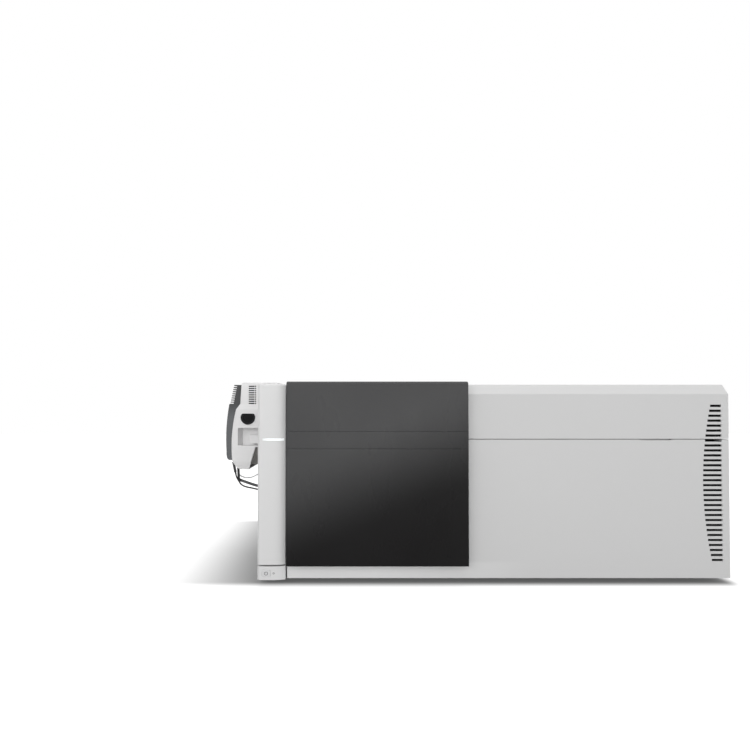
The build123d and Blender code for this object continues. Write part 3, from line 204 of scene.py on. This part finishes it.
def coating(
    name, colour, roughness, texture=900.0, relief=0.12, metallic=0.0, spread=0.05, wear=1.25,
    stretch=(1, 1, 1), ease=0.5, specular=0.5, orange_peel=0.0,
):
    """A finish with a broad tone change, a fine relief, an uneven gloss and rubbed edges."""
    material, tree, shader = new_material(name)
    shader.inputs["Metallic"].default_value = metallic
    shader.inputs["Specular IOR Level"].default_value = specular
    broad = grain(tree, 6.0, 4.0)
    fine = grain(tree, texture, 2.0, stretch)
    speckle = ramp(tree, fine, NOISE_SPREAD, (0.0, 1.0))
    surface = blend_colours(tree, broad, scaled(colour, 1 - spread), scaled(colour, 1 + spread))
    half_speckle = arithmetic(tree, "MULTIPLY", speckle, 0.5)
    surface = blend_colours(tree, half_speckle, surface, scaled(colour, 1 - spread))
    normal = eased_normal(tree, ease * MM)
    surface = blend_colours(tree, edge_wear(tree, normal), surface, scaled(colour, wear))
    tree.links.new(surface, shader.inputs["Base Color"])
    gloss = ramp(tree, broad, NOISE_SPREAD, (roughness * 0.88, roughness * 1.12))
    tree.links.new(gloss, shader.inputs["Roughness"])
    layers = [(fine, relief, 0.2 * MM)]
    if orange_peel:
        layers.append((grain(tree, 260.0, 1.0), orange_peel, 0.4 * MM))
    relieve(tree, shader, normal, layers)
    return material


def darken_upwards(material, low, high, factor):
    """Paints shade into a finish's colour above a height, as on a part that leans back from the
    light.
    """
    tree = material.node_tree
    colour = tree.nodes["Principled BSDF"].inputs["Base Color"]
    plain = colour.links[0].from_socket
    place = object_place(tree)
    shade = node(tree, "ShaderNodeHueSaturation", Value=factor)
    tree.links.new(plain, shade.inputs["Color"])
    amount = ramp(tree, place["Z"], (low, high), (0.0, 1.0), smooth=True)
    tree.links.new(blend_colours(tree, amount, plain, shade.outputs["Color"]), colour)


def paint_light_on_sill(material):
    """Paints light onto the low sill under the door, lifting the door's shadow off it, fading out to
    the right of the door.
    """
    tree = material.node_tree
    colour = tree.nodes["Principled BSDF"].inputs["Base Color"]
    plain = colour.links[0].from_socket
    door_low, door_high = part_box("front_door")
    place = object_place(tree)
    at_door_foot = (door_low.z - 4 * MM, door_low.z + 6 * MM)
    past_door = (door_high.x - 260 * MM, door_high.x + 190 * MM)
    under = ramp(tree, place["Z"], at_door_foot, (1.0, 0.0), smooth=True)
    along = ramp(tree, place["X"], past_door, (1.0, 0.0), smooth=True)
    amount = arithmetic(tree, "MULTIPLY", under, along)
    # painted light: a light grey where the door's shadow falls on the sill
    sill = (0.73, 0.73, 0.73)
    tree.links.new(blend_colours(tree, amount, plain, sill), colour)


def door_material(name):
    """Charcoal, with a painted reflection that makes it lighter towards the upper left and nearly
    black towards the lower right.
    """
    material, tree, shader = new_material(name)
    low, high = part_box("front_door")
    height = high.z - low.z
    # painted reflection: the colour runs from near black to grey across a slanted edge, standing in
    # for a lamp reflected in the door
    slant = 0.46    # the bright edge rises this much for each step to the right
    place = object_place(tree)
    across = arithmetic(tree, "MULTIPLY", arithmetic(tree, "SUBTRACT", place["X"], low.x), slant)
    rise = arithmetic(tree, "SUBTRACT", place["Z"], across)
    dark_to_light = (low.z - 0.02 * height, low.z + 0.56 * height)
    painted_reflection = ramp(tree, rise, dark_to_light, (0.0, 1.0), smooth=True)
    tone = blend_colours(tree, painted_reflection, (0.0075, 0.0070, 0.0072), (0.070, 0.070, 0.071))
    cloud = ramp(tree, grain(tree, 5.0, 3.0), NOISE_SPREAD, (0.0, 0.10))
    tone = blend_colours(tree, cloud, tone, (0.030, 0.030, 0.031))
    normal = eased_normal(tree, 0.6 * MM)
    tone = blend_colours(tree, edge_wear(tree, normal), tone, (0.05, 0.05, 0.052))
    tree.links.new(tone, shader.inputs["Base Color"])
    smears = grain(tree, 14.0, 5.0, (1, 1, 0.4))
    tree.links.new(ramp(tree, smears, NOISE_SPREAD, (0.24, 0.33)), shader.inputs["Roughness"])
    shader.inputs["Specular IOR Level"].default_value = 0.07
    fine = grain(tree, 1700.0, 2.0)
    broad = grain(tree, 240.0, 1.0)
    relieve(tree, shader, normal, [(fine, 0.04, 0.2 * MM), (broad, 0.03, 0.3 * MM)])
    return material


def glass(name, colour, roughness, clearness, reflection=0.5, level=None):
    """Glass with faint smears; below level, if given, it is tinted by what it holds."""
    material, tree, shader = new_material(name)
    tint = blend_colours(tree, grain(tree, 12.0), scaled(colour, 0.94), scaled(colour, 1.04))
    if level:
        place = object_place(tree)
        meniscus = 0.4 * MM
        above = ramp(tree, place["Z"], (level - meniscus, level + meniscus), (0.0, 1.0))
        tint = blend_colours(tree, above, scaled(colour, 0.72), tint)
    tree.links.new(tint, shader.inputs["Base Color"])
    shader.inputs["Transmission Weight"].default_value = clearness
    shader.inputs["Specular IOR Level"].default_value = reflection
    smears = ramp(tree, grain(tree, 40.0), NOISE_SPREAD, (roughness, roughness * 2.5))
    tree.links.new(smears, shader.inputs["Roughness"])
    return material


def lamp_material(name):
    """A frosted diffuser lit from behind, which fades in at its left end."""
    material, tree, shader = new_material(name)
    low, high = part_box("status_lamp")
    place = object_place(tree)
    shader.inputs["Base Color"].default_value = (0.80, 0.82, 0.83, 1)
    shader.inputs["Roughness"].default_value = 0.35
    shader.inputs["Emission Color"].default_value = (0.95, 0.98, 1.0, 1)
    fade_length = 14 * MM
    fade = ramp(tree, place["X"], (low.x, low.x + fade_length), (0.05, 0.34), smooth=True)
    frost = ramp(tree, grain(tree, 220.0), NOISE_SPREAD, (0.9, 1.1))
    tree.links.new(arithmetic(tree, "MULTIPLY", fade, frost), shader.inputs["Emission Strength"])
    return material


def braid_material(name, colour):
    """A woven jacket: fine crossed ribs along the cable."""
    material, tree, shader = new_material(name)
    weave = []
    for turn in (35, -35):
        place = node(tree, "ShaderNodeTexCoord")
        mapping = node(tree, "ShaderNodeMapping", Rotation=(0, radians(turn), radians(turn)))
        wave = node(tree, "ShaderNodeTexWave", Scale=260.0, Distortion=0.6)
        tree.links.new(place.outputs["Object"], mapping.inputs["Vector"])
        tree.links.new(mapping.outputs["Vector"], wave.inputs["Vector"])
        weave.append(wave.outputs["Fac"])
    braid = arithmetic(tree, "MAXIMUM", *weave)
    threads = blend_colours(tree, braid, scaled(colour, 0.6), scaled(colour, 1.25))
    tree.links.new(threads, shader.inputs["Base Color"])
    gloss = ramp(tree, grain(tree, 60.0), NOISE_SPREAD, (0.55, 0.7))
    tree.links.new(gloss, shader.inputs["Roughness"])
    relieve(tree, shader, eased_normal(tree, 0.2 * MM), [(braid, 0.5, 0.3 * MM)])
    return material


# painted shade: a darker copy of the cover white, standing in for the shade on the top cover and the
# lower front panel
panel_white_painted_shade = coating(
    "panel_white_painted_shade", (0.56, 0.56, 0.56), 0.48,
    texture=1400, relief=0.10, spread=0.012, wear=1.03, orange_peel=0.05, specular=0.3,
)
paint_light_on_sill(panel_white_painted_shade)
white = coating(
    "cover_white", (0.67, 0.67, 0.67), 0.46,
    texture=1400, relief=0.10, spread=0.012, wear=1.03, orange_peel=0.05, specular=0.35,
)
shell_white = coating(
    "shell_white", (0.77, 0.765, 0.765), 0.38,
    texture=1400, relief=0.08, spread=0.02, wear=1.03,
)
charcoal = door_material("door_charcoal")
liner_grey = coating("liner_grey", (0.42, 0.43, 0.44), 0.5, texture=900, relief=0.15)
sheet_grey = coating("sheet_grey", (0.50, 0.51, 0.52), 0.45, texture=700, relief=0.3, wear=1.12)
button_white = coating(
    "button_white", (0.62, 0.62, 0.625), 0.35,
    texture=1800, relief=0.06, spread=0.01, wear=0.80,
)
chamber_cast = coating(
    "chamber_cast", (0.44, 0.42, 0.40), 0.5,
    texture=420, relief=0.5, spread=0.3, wear=1.5,
)
source_dark = coating(
    "source_dark", (0.090, 0.095, 0.100), 0.5,
    texture=650, relief=0.3, spread=0.25, wear=1.5,
)
# painted shade: the dark source cover is made darker towards its top
darken_upwards(source_dark, low=385 * MM, high=435 * MM, factor=0.2)
steel = coating(
    "brushed_steel", (0.52, 0.52, 0.53), 0.30,
    texture=500, relief=0.2, metallic=1, stretch=(1, 1, 14),
)
turned_steel = coating(
    "turned_steel", (0.56, 0.56, 0.57), 0.24,
    texture=600, relief=0.15, metallic=1, stretch=(12, 1, 1),
)
aluminium = coating(
    "aluminium", (0.50, 0.50, 0.515), 0.42,
    texture=420, relief=0.18, metallic=1, stretch=(1, 9, 1),
)
brass = coating(
    "brass", (0.62, 0.45, 0.20), 0.28,
    texture=500, relief=0.15, metallic=1, stretch=(1, 10, 1),
)
black = coating(
    "black_moulding", (0.014, 0.014, 0.015), 0.48,
    texture=1000, relief=0.25, spread=0.15, wear=2.0,
)
bezel_black = coating(
    "bezel_black", (0.010, 0.010, 0.011), 0.6,
    texture=1000, relief=0.15, wear=1.5, specular=0.15,
)
foam = coating(
    "filter_foam", (0.008, 0.008, 0.008), 0.9,
    texture=420, relief=1.0, spread=0.4, specular=0.1,
)
rubber = coating("foot_rubber", (0.022, 0.022, 0.022), 0.8, texture=500, relief=0.4, spread=0.2)
cap_blue = coating("cap_blue", (0.02, 0.07, 0.26), 0.38, texture=900, relief=0.1)
board_green = coating("board_green", (0.01, 0.09, 0.04), 0.35, texture=240, relief=0.3, spread=0.25)
jacket_grey = braid_material("jacket_grey", (0.10, 0.10, 0.104))
jacket_black = coating(
    "jacket_black", (0.012, 0.012, 0.013), 0.45,
    texture=900, relief=0.2, spread=0.15,
)
tube_pale = coating("tube_pale", (0.70, 0.705, 0.71), 0.30, texture=600, relief=0.1, spread=0.08)
print_grey = coating("print_grey", (0.05, 0.05, 0.052), 0.6, texture=1500, relief=0.05)
smoked_glass = glass(
    "smoked_glass", (0.004, 0.004, 0.0045), roughness=0.08, clearness=0.1, reflection=0.10
)
liquid_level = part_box("calibrant_bottle")[0].z + 58 * MM
clear_glass = glass(
    "clear_glass", (0.85, 0.90, 0.91), roughness=0.03, clearness=0.85, level=liquid_level
)
lamp_white = lamp_material("lamp_white")

finishes = {
    "cover_white": white,
    "shell_white": shell_white,
    "door_charcoal": charcoal,
    "liner_grey": liner_grey,
    "status_lamp": lamp_white,
    "button_white": button_white,
    "sheet_grey": sheet_grey,
    "hinge_steel": steel,
    "source_dark": source_dark,
    "chamber_cast": chamber_cast,
    "window_glass": smoked_glass,
    "bottle_glass": clear_glass,
    "bottle_cap": cap_blue,
    "inlet_steel": turned_steel,
    "nut_black": black,
    "valve_body": aluminium,
    "fan_black": black,
    "port_brass": brass,
    "vacuum_aluminium": aluminium,
    "board_green": board_green,
    "supply_metal": sheet_grey,
    "foot_rubber": rubber,
    "cable_grey": jacket_grey,
    "cable_black": jacket_black,
    "tube_pale": tube_pale,
}


def finish_nodes():
    """Gives each CAD node the finish of its slot, and three nodes a finish of their own, two of them
    a darker copy of the cover white with painted shade.
    """
    for part in frame["record"]["subparts"]:
        piece = nodes[part["node"]]
        piece.data.materials.clear()
        piece.data.materials.append(finishes[part["material_slot"]])
    nodes["window_bezel"].data.materials[0] = bezel_black
    # painted shade: the top cover and lower front panel get the darker copy of the cover white
    for name in ("top_cover", "lower_front_panel"):
        nodes[name].data.materials[0] = panel_white_painted_shade


finish_nodes()


# Cables and tube --------------------------------------------------------------------------------
# In millimetres: the cabinet's left wall, the source's front and bottom, the glands' outer ends.
WALL_X = -473
SOURCE_Y = -166
SOURCE_Z = 253
GLAND_X = WALL_X - 12


def route_along(name, points, resolution):
    """A smooth curve through its first and last points, drawn towards those between."""
    curve = bpy.data.curves.new(name + "_route", "CURVE")
    curve.dimensions = "3D"
    curve.resolution_u = resolution
    spline = curve.splines.new("NURBS")
    spline.points.add(len(points) - 1)
    for control, point in zip(spline.points, points):
        control.co = (*point, 1)
    spline.order_u = 3
    spline.use_endpoint_u = True
    route = bpy.data.objects.new(name + "_route", curve)
    scene.collection.objects.link(route)
    return route


def tube_around(name, route, radius, roundness, material):
    """A closed tube of one radius around a route, which is used up."""
    route.data.bevel_depth = radius * MM
    route.data.bevel_resolution = roundness
    route.data.use_fill_caps = True
    mesh = bpy.data.meshes.new_from_object(route)
    bpy.data.objects.remove(route)
    mesh.materials.clear()
    mesh.materials.append(material)
    mesh.shade_smooth()
    tube = bpy.data.objects.new(name, mesh)
    scene.collection.objects.link(tube)
    return tube


def hanging_cord(name, replaced, radius, points, material):
    """A cable along its route, which takes the place of a CAD node."""
    in_metres = [tuple(value * MM for value in point) for point in points]
    route = route_along(name, in_metres, resolution=10)
    line = bpy.data.meshes.new_from_object(route)
    tube = tube_around(name, route, radius, roundness=5, material=material)
    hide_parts(replaced)
    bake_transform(tube)


heater_route = [
    (WALL_X - 106.5, SOURCE_Y + 27, SOURCE_Z - 33.5),
    (WALL_X - 96.1, SOURCE_Y + 27, SOURCE_Z - 37.1),
    (WALL_X - 82, SOURCE_Y + 28.2, SOURCE_Z - 42.3),
    (WALL_X - 66, SOURCE_Y + 31, SOURCE_Z - 48.1),
    (WALL_X - 48.5, SOURCE_Y + 34.5, SOURCE_Z - 52.4),
    (WALL_X - 29, SOURCE_Y + 38, SOURCE_Z - 54.4),
    (GLAND_X, SOURCE_Y + 38, SOURCE_Z - 54.4),
]
hv_route = [
    (WALL_X - 119.6, SOURCE_Y + 16, SOURCE_Z - 14.5),
    (WALL_X - 118.2, SOURCE_Y + 16, SOURCE_Z - 21.2),
    (WALL_X - 115, SOURCE_Y + 16, SOURCE_Z - 27.6),
    (WALL_X - 111.2, SOURCE_Y + 16, SOURCE_Z - 33.6),
    (WALL_X - 107.2, SOURCE_Y + 16.3, SOURCE_Z - 40.4),
    (WALL_X - 100.8, SOURCE_Y + 17, SOURCE_Z - 46),
    (WALL_X - 91.3, SOURCE_Y + 18.2, SOURCE_Z - 49.8),
    (WALL_X - 76.5, SOURCE_Y + 20.5, SOURCE_Z - 53),
    (WALL_X - 60, SOURCE_Y + 23, SOURCE_Z - 57.4),
    (WALL_X - 43, SOURCE_Y + 25.5, SOURCE_Z - 60.4),
    (WALL_X - 26.8, SOURCE_Y + 27, SOURCE_Z - 61.4),
    (GLAND_X, SOURCE_Y + 27, SOURCE_Z - 61.4),
]
drain_route = [
    (WALL_X - 118.4, SOURCE_Y + 44, SOURCE_Z - 9),
    (WALL_X - 118.4, SOURCE_Y + 44, SOURCE_Z - 16.5),
    (WALL_X - 113.5, SOURCE_Y + 44, SOURCE_Z - 23),
    (WALL_X - 105.5, SOURCE_Y + 44.4, SOURCE_Z - 26.7),
    (WALL_X - 96, SOURCE_Y + 45, SOURCE_Z - 28.6),
    (WALL_X - 86, SOURCE_Y + 45.8, SOURCE_Z - 28.4),
    (WALL_X - 76.5, SOURCE_Y + 46.8, SOURCE_Z - 25),
    (WALL_X - 66.5, SOURCE_Y + 48, SOURCE_Z - 19.3),
    (WALL_X - 55, SOURCE_Y + 49.2, SOURCE_Z - 14.6),
    (WALL_X - 42, SOURCE_Y + 50.4, SOURCE_Z - 11.4),
    (WALL_X - 27, SOURCE_Y + 51, SOURCE_Z - 10),
    (GLAND_X, SOURCE_Y + 51, SOURCE_Z - 10),
]
hanging_cord("heater_lead", "heater_cable", 3.6, heater_route, jacket_grey)
hanging_cord("hv_lead", "hv_cable", 2.0, hv_route, jacket_black)
hanging_cord("drain_line", "drain_tube", 1.65, drain_route, tube_pale)


# Trim: pieces too small or too dark to matter in the solids -------------------------------------
def add_piece(name, work, material, body):
    """Turns a bmesh into a piece that rides on a body."""
    bmesh.ops.recalc_face_normals(work, faces=work.faces)
    mesh = bpy.data.meshes.new(name)
    work.to_mesh(mesh)
    work.free()
    mesh.materials.append(material)
    piece = bpy.data.objects.new(name, mesh)
    scene.collection.objects.link(piece)
    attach(piece, body)


def add_pad(work, low, high, radius=0.0):
    """A closed box between two corners, with its edges bevelled."""
    size = [b - a for a, b in zip(low, high)]
    centre = Vector([(a + b) / 2 for a, b in zip(low, high)])
    place = Matrix.Translation(centre) @ Matrix.Diagonal((*size, 1))
    made = bmesh.ops.create_cube(work, size=1.0, matrix=place)
    if radius:
        edges = {edge for vertex in made["verts"] for edge in vertex.link_edges}
        bmesh.ops.bevel(
            work, geom=list(edges), offset=radius, segments=2, affect="EDGES", profile=0.6
        )


def ring_points(radius, count, height):
    """Points evenly around a circle."""
    angles = [2 * pi * i / count for i in range(count)]
    return [(radius * cos(angle), radius * sin(angle), height) for angle in angles]


def hexagon_points(radius, count, height):
    """Points evenly along a hexagon's sides, one for each point of a ring with the same count."""
    corners = [Vector(point) for point in ring_points(radius, 6, height)]
    per_side = count // 6
    return [
        tuple(corners[side].lerp(corners[(side + 1) % 6], step / per_side))
        for side in range(6)
        for step in range(per_side)
    ]


def skin(work, rings):
    """Joins rings of equally many points by quads, and closes both ends."""
    made = [[work.verts.new(point) for point in ring] for ring in rings]
    count = len(made[0])
    for lower, upper in zip(made, made[1:]):
        for i in range(count):
            work.faces.new((lower[i], lower[(i + 1) % count], upper[(i + 1) % count], upper[i]))
    work.faces.new(made[0][::-1])
    work.faces.new(made[-1])
    return [vertex for ring in made for vertex in ring]


def add_screw(work, place, direction, radius=3.5):
    """A button-head screw with a hexagonal socket, seated on a face that looks along direction."""
    count = 24
    height = radius * 0.55
    rings = [
        ring_points(radius * 0.98, count, -0.6),
        ring_points(radius, count, 0.15),
        ring_points(radius * 0.97, count, height * 0.35),
        ring_points(radius * 0.85, count, height * 0.75),
        ring_points(radius * 0.62, count, height),
        hexagon_points(radius * 0.50, count, height),
        hexagon_points(radius * 0.47, count, height * 0.35),
        hexagon_points(radius * 0.20, count, height * 0.22),
    ]
    made = skin(work, rings)
    turn = Vector(direction).to_track_quat("Z", "Y").to_matrix().to_4x4()
    move = Matrix.Translation(Vector(place)) @ turn @ Matrix.Scale(MM, 4)
    bmesh.ops.transform(work, matrix=move, verts=made)


def add_screws(name, places, direction, radius=3.5, material=steel):
    """Screws of one kind on the cabinet, as one mesh."""
    work = bmesh.new()
    for place in places:
        add_screw(work, place, direction, radius)
    add_piece(name, work, material, "mainframe")


def rim_places(low, high, inset, across, up, face):
    """Places just inside a plate's rim: across and up count the screws along each side."""
    width = high[0] - low[0] - 2 * inset
    height = high[1] - low[1] - 2 * inset
    columns = [low[0] + inset + width * i / (across - 1) for i in range(across)]
    rows = [low[1] + inset + height * i / (up - 1) for i in range(up)]
    rim = [(column, row) for column in columns for row in (rows[0], rows[-1])]
    rim += [(column, row) for row in rows[1:-1] for column in (columns[0], columns[-1])]
    return [face(column, row) for column, row in rim]


def add_power_mark(name, centre, radius, line, body):
    """A printed ring, open at its top, with a bar standing in the opening."""
    work = bmesh.new()
    steps = 40
    opening = radians(38)
    front, back = centre.y - 0.12 * MM, centre.y + 0.05 * MM
    angles = [pi / 2 + opening + (2 * pi - 2 * opening) * i / steps for i in range(steps + 1)]
    sections = []
    for angle in angles:
        section = []
        for reach, depth in ((-1, front), (1, front), (1, back), (-1, back)):
            distance = (radius + reach * line / 2) * MM
            across, up = distance * cos(angle), distance * sin(angle)
            section.append((centre.x + across, depth, centre.z + up))
        sections.append(section)
    skin(work, sections)
    half_bar = line / 2 * MM
    bar_low = (centre.x - half_bar, front, centre.z + 0.1 * radius * MM)
    bar_high = (centre.x + half_bar, back, centre.z + 1.25 * radius * MM)
    add_pad(work, bar_low, bar_high)
    add_piece(name, work, print_grey, body)


def add_filters():
    """Black foam behind the front vent, behind the flange above it and in the source's vent."""
    panel_low, panel_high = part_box("lower_front_panel")
    cover_low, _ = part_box("top_cover")
    side_margin = 14 * MM
    vent_width = 62 * MM
    right = panel_high.x - side_margin
    left = right - vent_width
    inner = panel_low.y + 3.2 * MM
    behind_flange = panel_low.y + 25.5 * MM
    thickness = 4 * MM
    edge = 0.4 * MM
    pads = (
        (inner, panel_low.z + 32 * MM, panel_high.z - 4 * MM),
        (inner, cover_low.z + 0.5 * MM, cover_low.z + 92 * MM),
        (behind_flange, panel_high.z - 14 * MM, panel_high.z + 10 * MM),
    )
    work = bmesh.new()
    for front, bottom, top in pads:
        add_pad(work, (left, front, bottom), (right, front + thickness, top), edge)
    add_piece("vent_filter", work, foam, "mainframe")
    shell_low, shell_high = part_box("source_housing")
    inner = shell_low.y + 3.3 * MM
    left, right = shell_high.x - 84.5 * MM, shell_high.x - 59 * MM
    bottom, top = shell_high.z - 60 * MM, shell_high.z - 5 * MM
    work = bmesh.new()
    add_pad(work, (left, inner, bottom), (right, inner + 2 * MM, top), 0.3 * MM)
    add_piece("source_filter", work, foam, "source")


def add_marks():
    """A power symbol on the button, and a smaller one beside it on the plinth."""
    low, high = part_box("power_button")
    centre = Vector(((low.x + high.x) / 2, low.y, (low.z + high.z) / 2))
    add_power_mark("button_mark", centre, radius=3.9, line=1.1, body="button")
    plinth_low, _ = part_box("corner_plinth")
    beside = Vector((centre.x + 17.4 * MM, plinth_low.y, centre.z))
    add_power_mark("standby_mark", beside, radius=1.9, line=0.7, body="mainframe")


def add_fasteners():
    """Screw heads around the rear, side and end panels, the fans and the bay's back."""

    def around(name, inset, columns, rows, face, axis=0):
        """Places around a node's rim; its columns follow one another along X, or Y if axis is 1."""
        low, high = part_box(name)
        return rim_places(
            (low[axis], low.z), (high[axis], high.z), inset * MM, columns, rows, face
        )

    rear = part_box("rear_panel")[1].y
    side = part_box("right_side_panel")[1].x
    bay_wall = 2.5 * MM
    bay_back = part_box("service_bay")[1].y - bay_wall
    small = 3.0
    places = around("rear_panel", 11, 7, 4, lambda x, z: (x, rear, z))
    add_screws("rear_screws", places, (0, 1, 0))
    places = around("right_side_panel", 14, 4, 3, lambda y, z: (side, y, z), axis=1)
    add_screws("side_screws", places, (1, 0, 0))
    places = [
        place
        for name in ("fan_frame_1", "fan_frame_2")
        for place in around(name, 7.5, 2, 2, lambda x, z: (x, rear, z))
    ]
    add_screws("fan_screws", places, (0, 1, 0), small, black)
    low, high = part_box("end_panel")
    front_column, rear_column = low.y + 90 * MM, high.y - 18 * MM
    lower_rows, upper_rows = (60 * MM, 190 * MM), (320 * MM, 440 * MM)
    places = [(WALL_X * MM, y, z) for y in (front_column, rear_column) for z in lower_rows]
    places += [(WALL_X * MM, rear_column, z) for z in upper_rows]
    add_screws("end_screws", places, (-1, 0, 0))
    places = around("service_bay", 16, 3, 3, lambda x, z: (x, bay_back, z))
    add_screws("bay_screws", places, (0, -1, 0), small)


def steel_line(name, points):
    """A thin rigid steel line along a smooth route in the service bay."""
    route = route_along(name, points, resolution=8)
    tube = tube_around(
        name, route, radius=0.8, roundness=4, material=turned_steel
    )
    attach(tube, "mainframe")


def add_bay_lines():
    """Steel lines from the bottle to the valve, from the valve to the left wall, and a loop."""
    cap_low, cap_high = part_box("bottle_cap")
    valve_low, valve_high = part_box("divert_valve")
    bay_low, bay_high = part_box("service_bay")
    valve = (valve_low + valve_high) / 2
    front = valve_low.y
    port_circle = 14 * MM
    turns = [radians(60 * i) for i in range(6)]
    ports = [
        Vector((valve.x + port_circle * cos(turn), front, valve.z + port_circle * sin(turn)))
        for turn in turns
    ]
    rise = Vector((0, 0, MM))
    out = Vector((0, -MM, 0))
    right = Vector((MM, 0, 0))
    cap = (cap_low + cap_high) / 2
    top = Vector((cap.x, cap.y, cap_high.z))
    steel_line("supply_line", [
        top - rise * 3,
        top + rise * 18,
        top + rise * 42 + right * 12,
        top + rise * 50 + right * 48,
        Vector((ports[2].x - 70 * MM, front - 14 * MM, top.z + 44 * MM)),
        Vector((ports[2].x - 16 * MM, front - 19 * MM, top.z + 8 * MM)),
        Vector((ports[2].x - 3 * MM, front - 19 * MM, ports[2].z + 22 * MM)),
        ports[2] + out * 14,
        ports[2] + out,
        ports[2] - out * 4,
    ])
    wall = Vector((bay_low.x + 2 * MM, bay_high.y - 30 * MM, bay_high.z - 46 * MM))
    steel_line("outlet_line", [
        ports[1] - out * 4,
        ports[1] + out,
        ports[1] + out * 13,
        ports[1] + out * 18 + rise * 20,
        ports[1] + out * 14 + rise * 90,
        Vector((ports[1].x - 30 * MM, front + 4 * MM, wall.z - 6 * MM)),
        Vector((ports[1].x - 80 * MM, wall.y, wall.z)),
        wall + right * 60,
        wall,
    ])
    steel_line("valve_loop", [
        ports[4] - out * 4,
        ports[4] + out,
        ports[4] + out * 12,
        ports[4] + out * 17 - rise * 12,
        Vector((valve.x, front - 17 * MM, valve.z - 46 * MM)),
        ports[5] + out * 17 - rise * 12,
        ports[5] + out * 12,
        ports[5] + out,
        ports[5] - out * 4,
    ])


add_filters()
add_marks()
add_fasteners()
add_bay_lines()


# Studio -----------------------------------------------------------------------------------------
SKY = 0.58              # the sky's strength for the light that reaches the instrument
# The floor's glow is lowest at the footprint, so a painted shadow shaped like the footprint,
# stretched to the left, darkens the floor around the cabinet on top of its real shadow.
FLOOR_NEAR = 0.06       # the floor's own glow at the footprint's edge
FLOOR_FADE = 0.045      # metres from the footprint to plain white
FLOOR_SIDEWAYS = 0.13   # how much a distance to the left counts


def seen_directly(tree):
    """1 for rays from the camera or by way of gloss or glass, 0 for the rest of the light."""
    kinds = node(tree, "ShaderNodeLightPath").outputs
    shiny = arithmetic(tree, "MAXIMUM", kinds["Is Glossy Ray"], kinds["Is Transmission Ray"])
    return arithmetic(tree, "MAXIMUM", kinds["Is Camera Ray"], shiny)


def footprint_distance(tree):
    """Distance on the floor from the cabinet; to the left, under the source, it counts less, which
    stretches the painted shadow to the left.
    """
    low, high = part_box("base_chassis")
    place = node(tree, "ShaderNodeTexCoord").outputs["Object"]
    beyond = vector_step(tree, "SUBTRACT", place, (high.x, high.y, 0))
    before = vector_step(tree, "SUBTRACT", (low.x, low.y, 0), place)
    beyond = vector_step(tree, "MAXIMUM", beyond, (0, 0, 0))
    before = vector_step(tree, "MAXIMUM", before, (0, 0, 0))
    before = vector_step(tree, "MULTIPLY", before, (FLOOR_SIDEWAYS, 1, 0))
    flat = vector_step(tree, "MULTIPLY", vector_step(tree, "ADD", beyond, before), (1, 1, 0))
    length = node(tree, "ShaderNodeVectorMath", operation="LENGTH")
    tree.links.new(flat, length.inputs[0])
    return length.outputs["Value"]


def build_floor():
    """A wide white floor that keeps the instrument's shadow, adds a painted shadow around its
    footprint, and is plain white away from it.
    """
    mesh = bpy.data.meshes.new("studio_floor")
    half = 6.0
    corners = [(-half, -half, 0), (half, -half, 0), (half, half, 0), (-half, half, 0)]
    mesh.from_pydata(corners, [], [(0, 1, 2, 3)])
    floor = bpy.data.objects.new("studio_floor", mesh)
    scene.collection.objects.link(floor)
    material, tree, shader = new_material("studio_floor")
    shader.inputs["Base Color"].default_value = (0.30, 0.30, 0.30, 1)
    shader.inputs["Roughness"].default_value = 0.95
    shader.inputs["Specular IOR Level"].default_value = 0.0
    # painted shadow: the glow fades out towards the footprint over a dark grey floor
    lift = ramp(tree, footprint_distance(tree), (0.0, FLOOR_FADE), (FLOOR_NEAR, 1.0), smooth=True)
    shader.inputs["Emission Color"].default_value = (1, 1, 1, 1)
    glow = arithmetic(tree, "MULTIPLY", seen_directly(tree), lift)
    tree.links.new(glow, shader.inputs["Emission Strength"])
    mesh.materials.append(material)


def add_light(name, place, target, size, energy):
    """A soft rectangular lamp that looks at a target."""
    data = bpy.data.lights.new(name, "AREA")
    data.shape = "RECTANGLE"
    data.size, data.size_y = size
    data.energy = energy
    light = bpy.data.objects.new(name, data)
    light.location = place
    light.rotation_euler = (Vector(target) - Vector(place)).to_track_quat("-Z", "Y").to_euler()
    scene.collection.objects.link(light)


def light_studio():
    """An even grey sky that shows as white, with four broad lamps before and above the part."""
    world = bpy.data.worlds.new("studio_world")
    world.use_nodes = True
    tree = world.node_tree
    sky = tree.nodes["Background"]
    sky.inputs["Color"].default_value = (1, 1, 1, 1)
    strength = ramp(tree, seen_directly(tree), (0.0, 1.0), (SKY, 1.0))
    tree.links.new(strength, sky.inputs["Strength"])
    scene.world = world
    add_light("key_light", (-1.3, -2.8, 1.15), (-0.1, 0, 0.25), (2.2, 1.4), 27)
    add_light("top_light", (-0.2, -0.3, 2.8), (0, 0, 0.3), (2.6, 1.6), 24)
    add_light("side_light", (2.2, -2.2, 1.2), (0.3, 0, 0.25), (1.6, 1.4), 10)
    add_light("low_light", (0.6, -2.9, 0.26), (0.0, 0, 0.22), (2.4, 0.45), 18)


build_floor()
light_studio()
scene.view_settings.view_transform = "Standard"
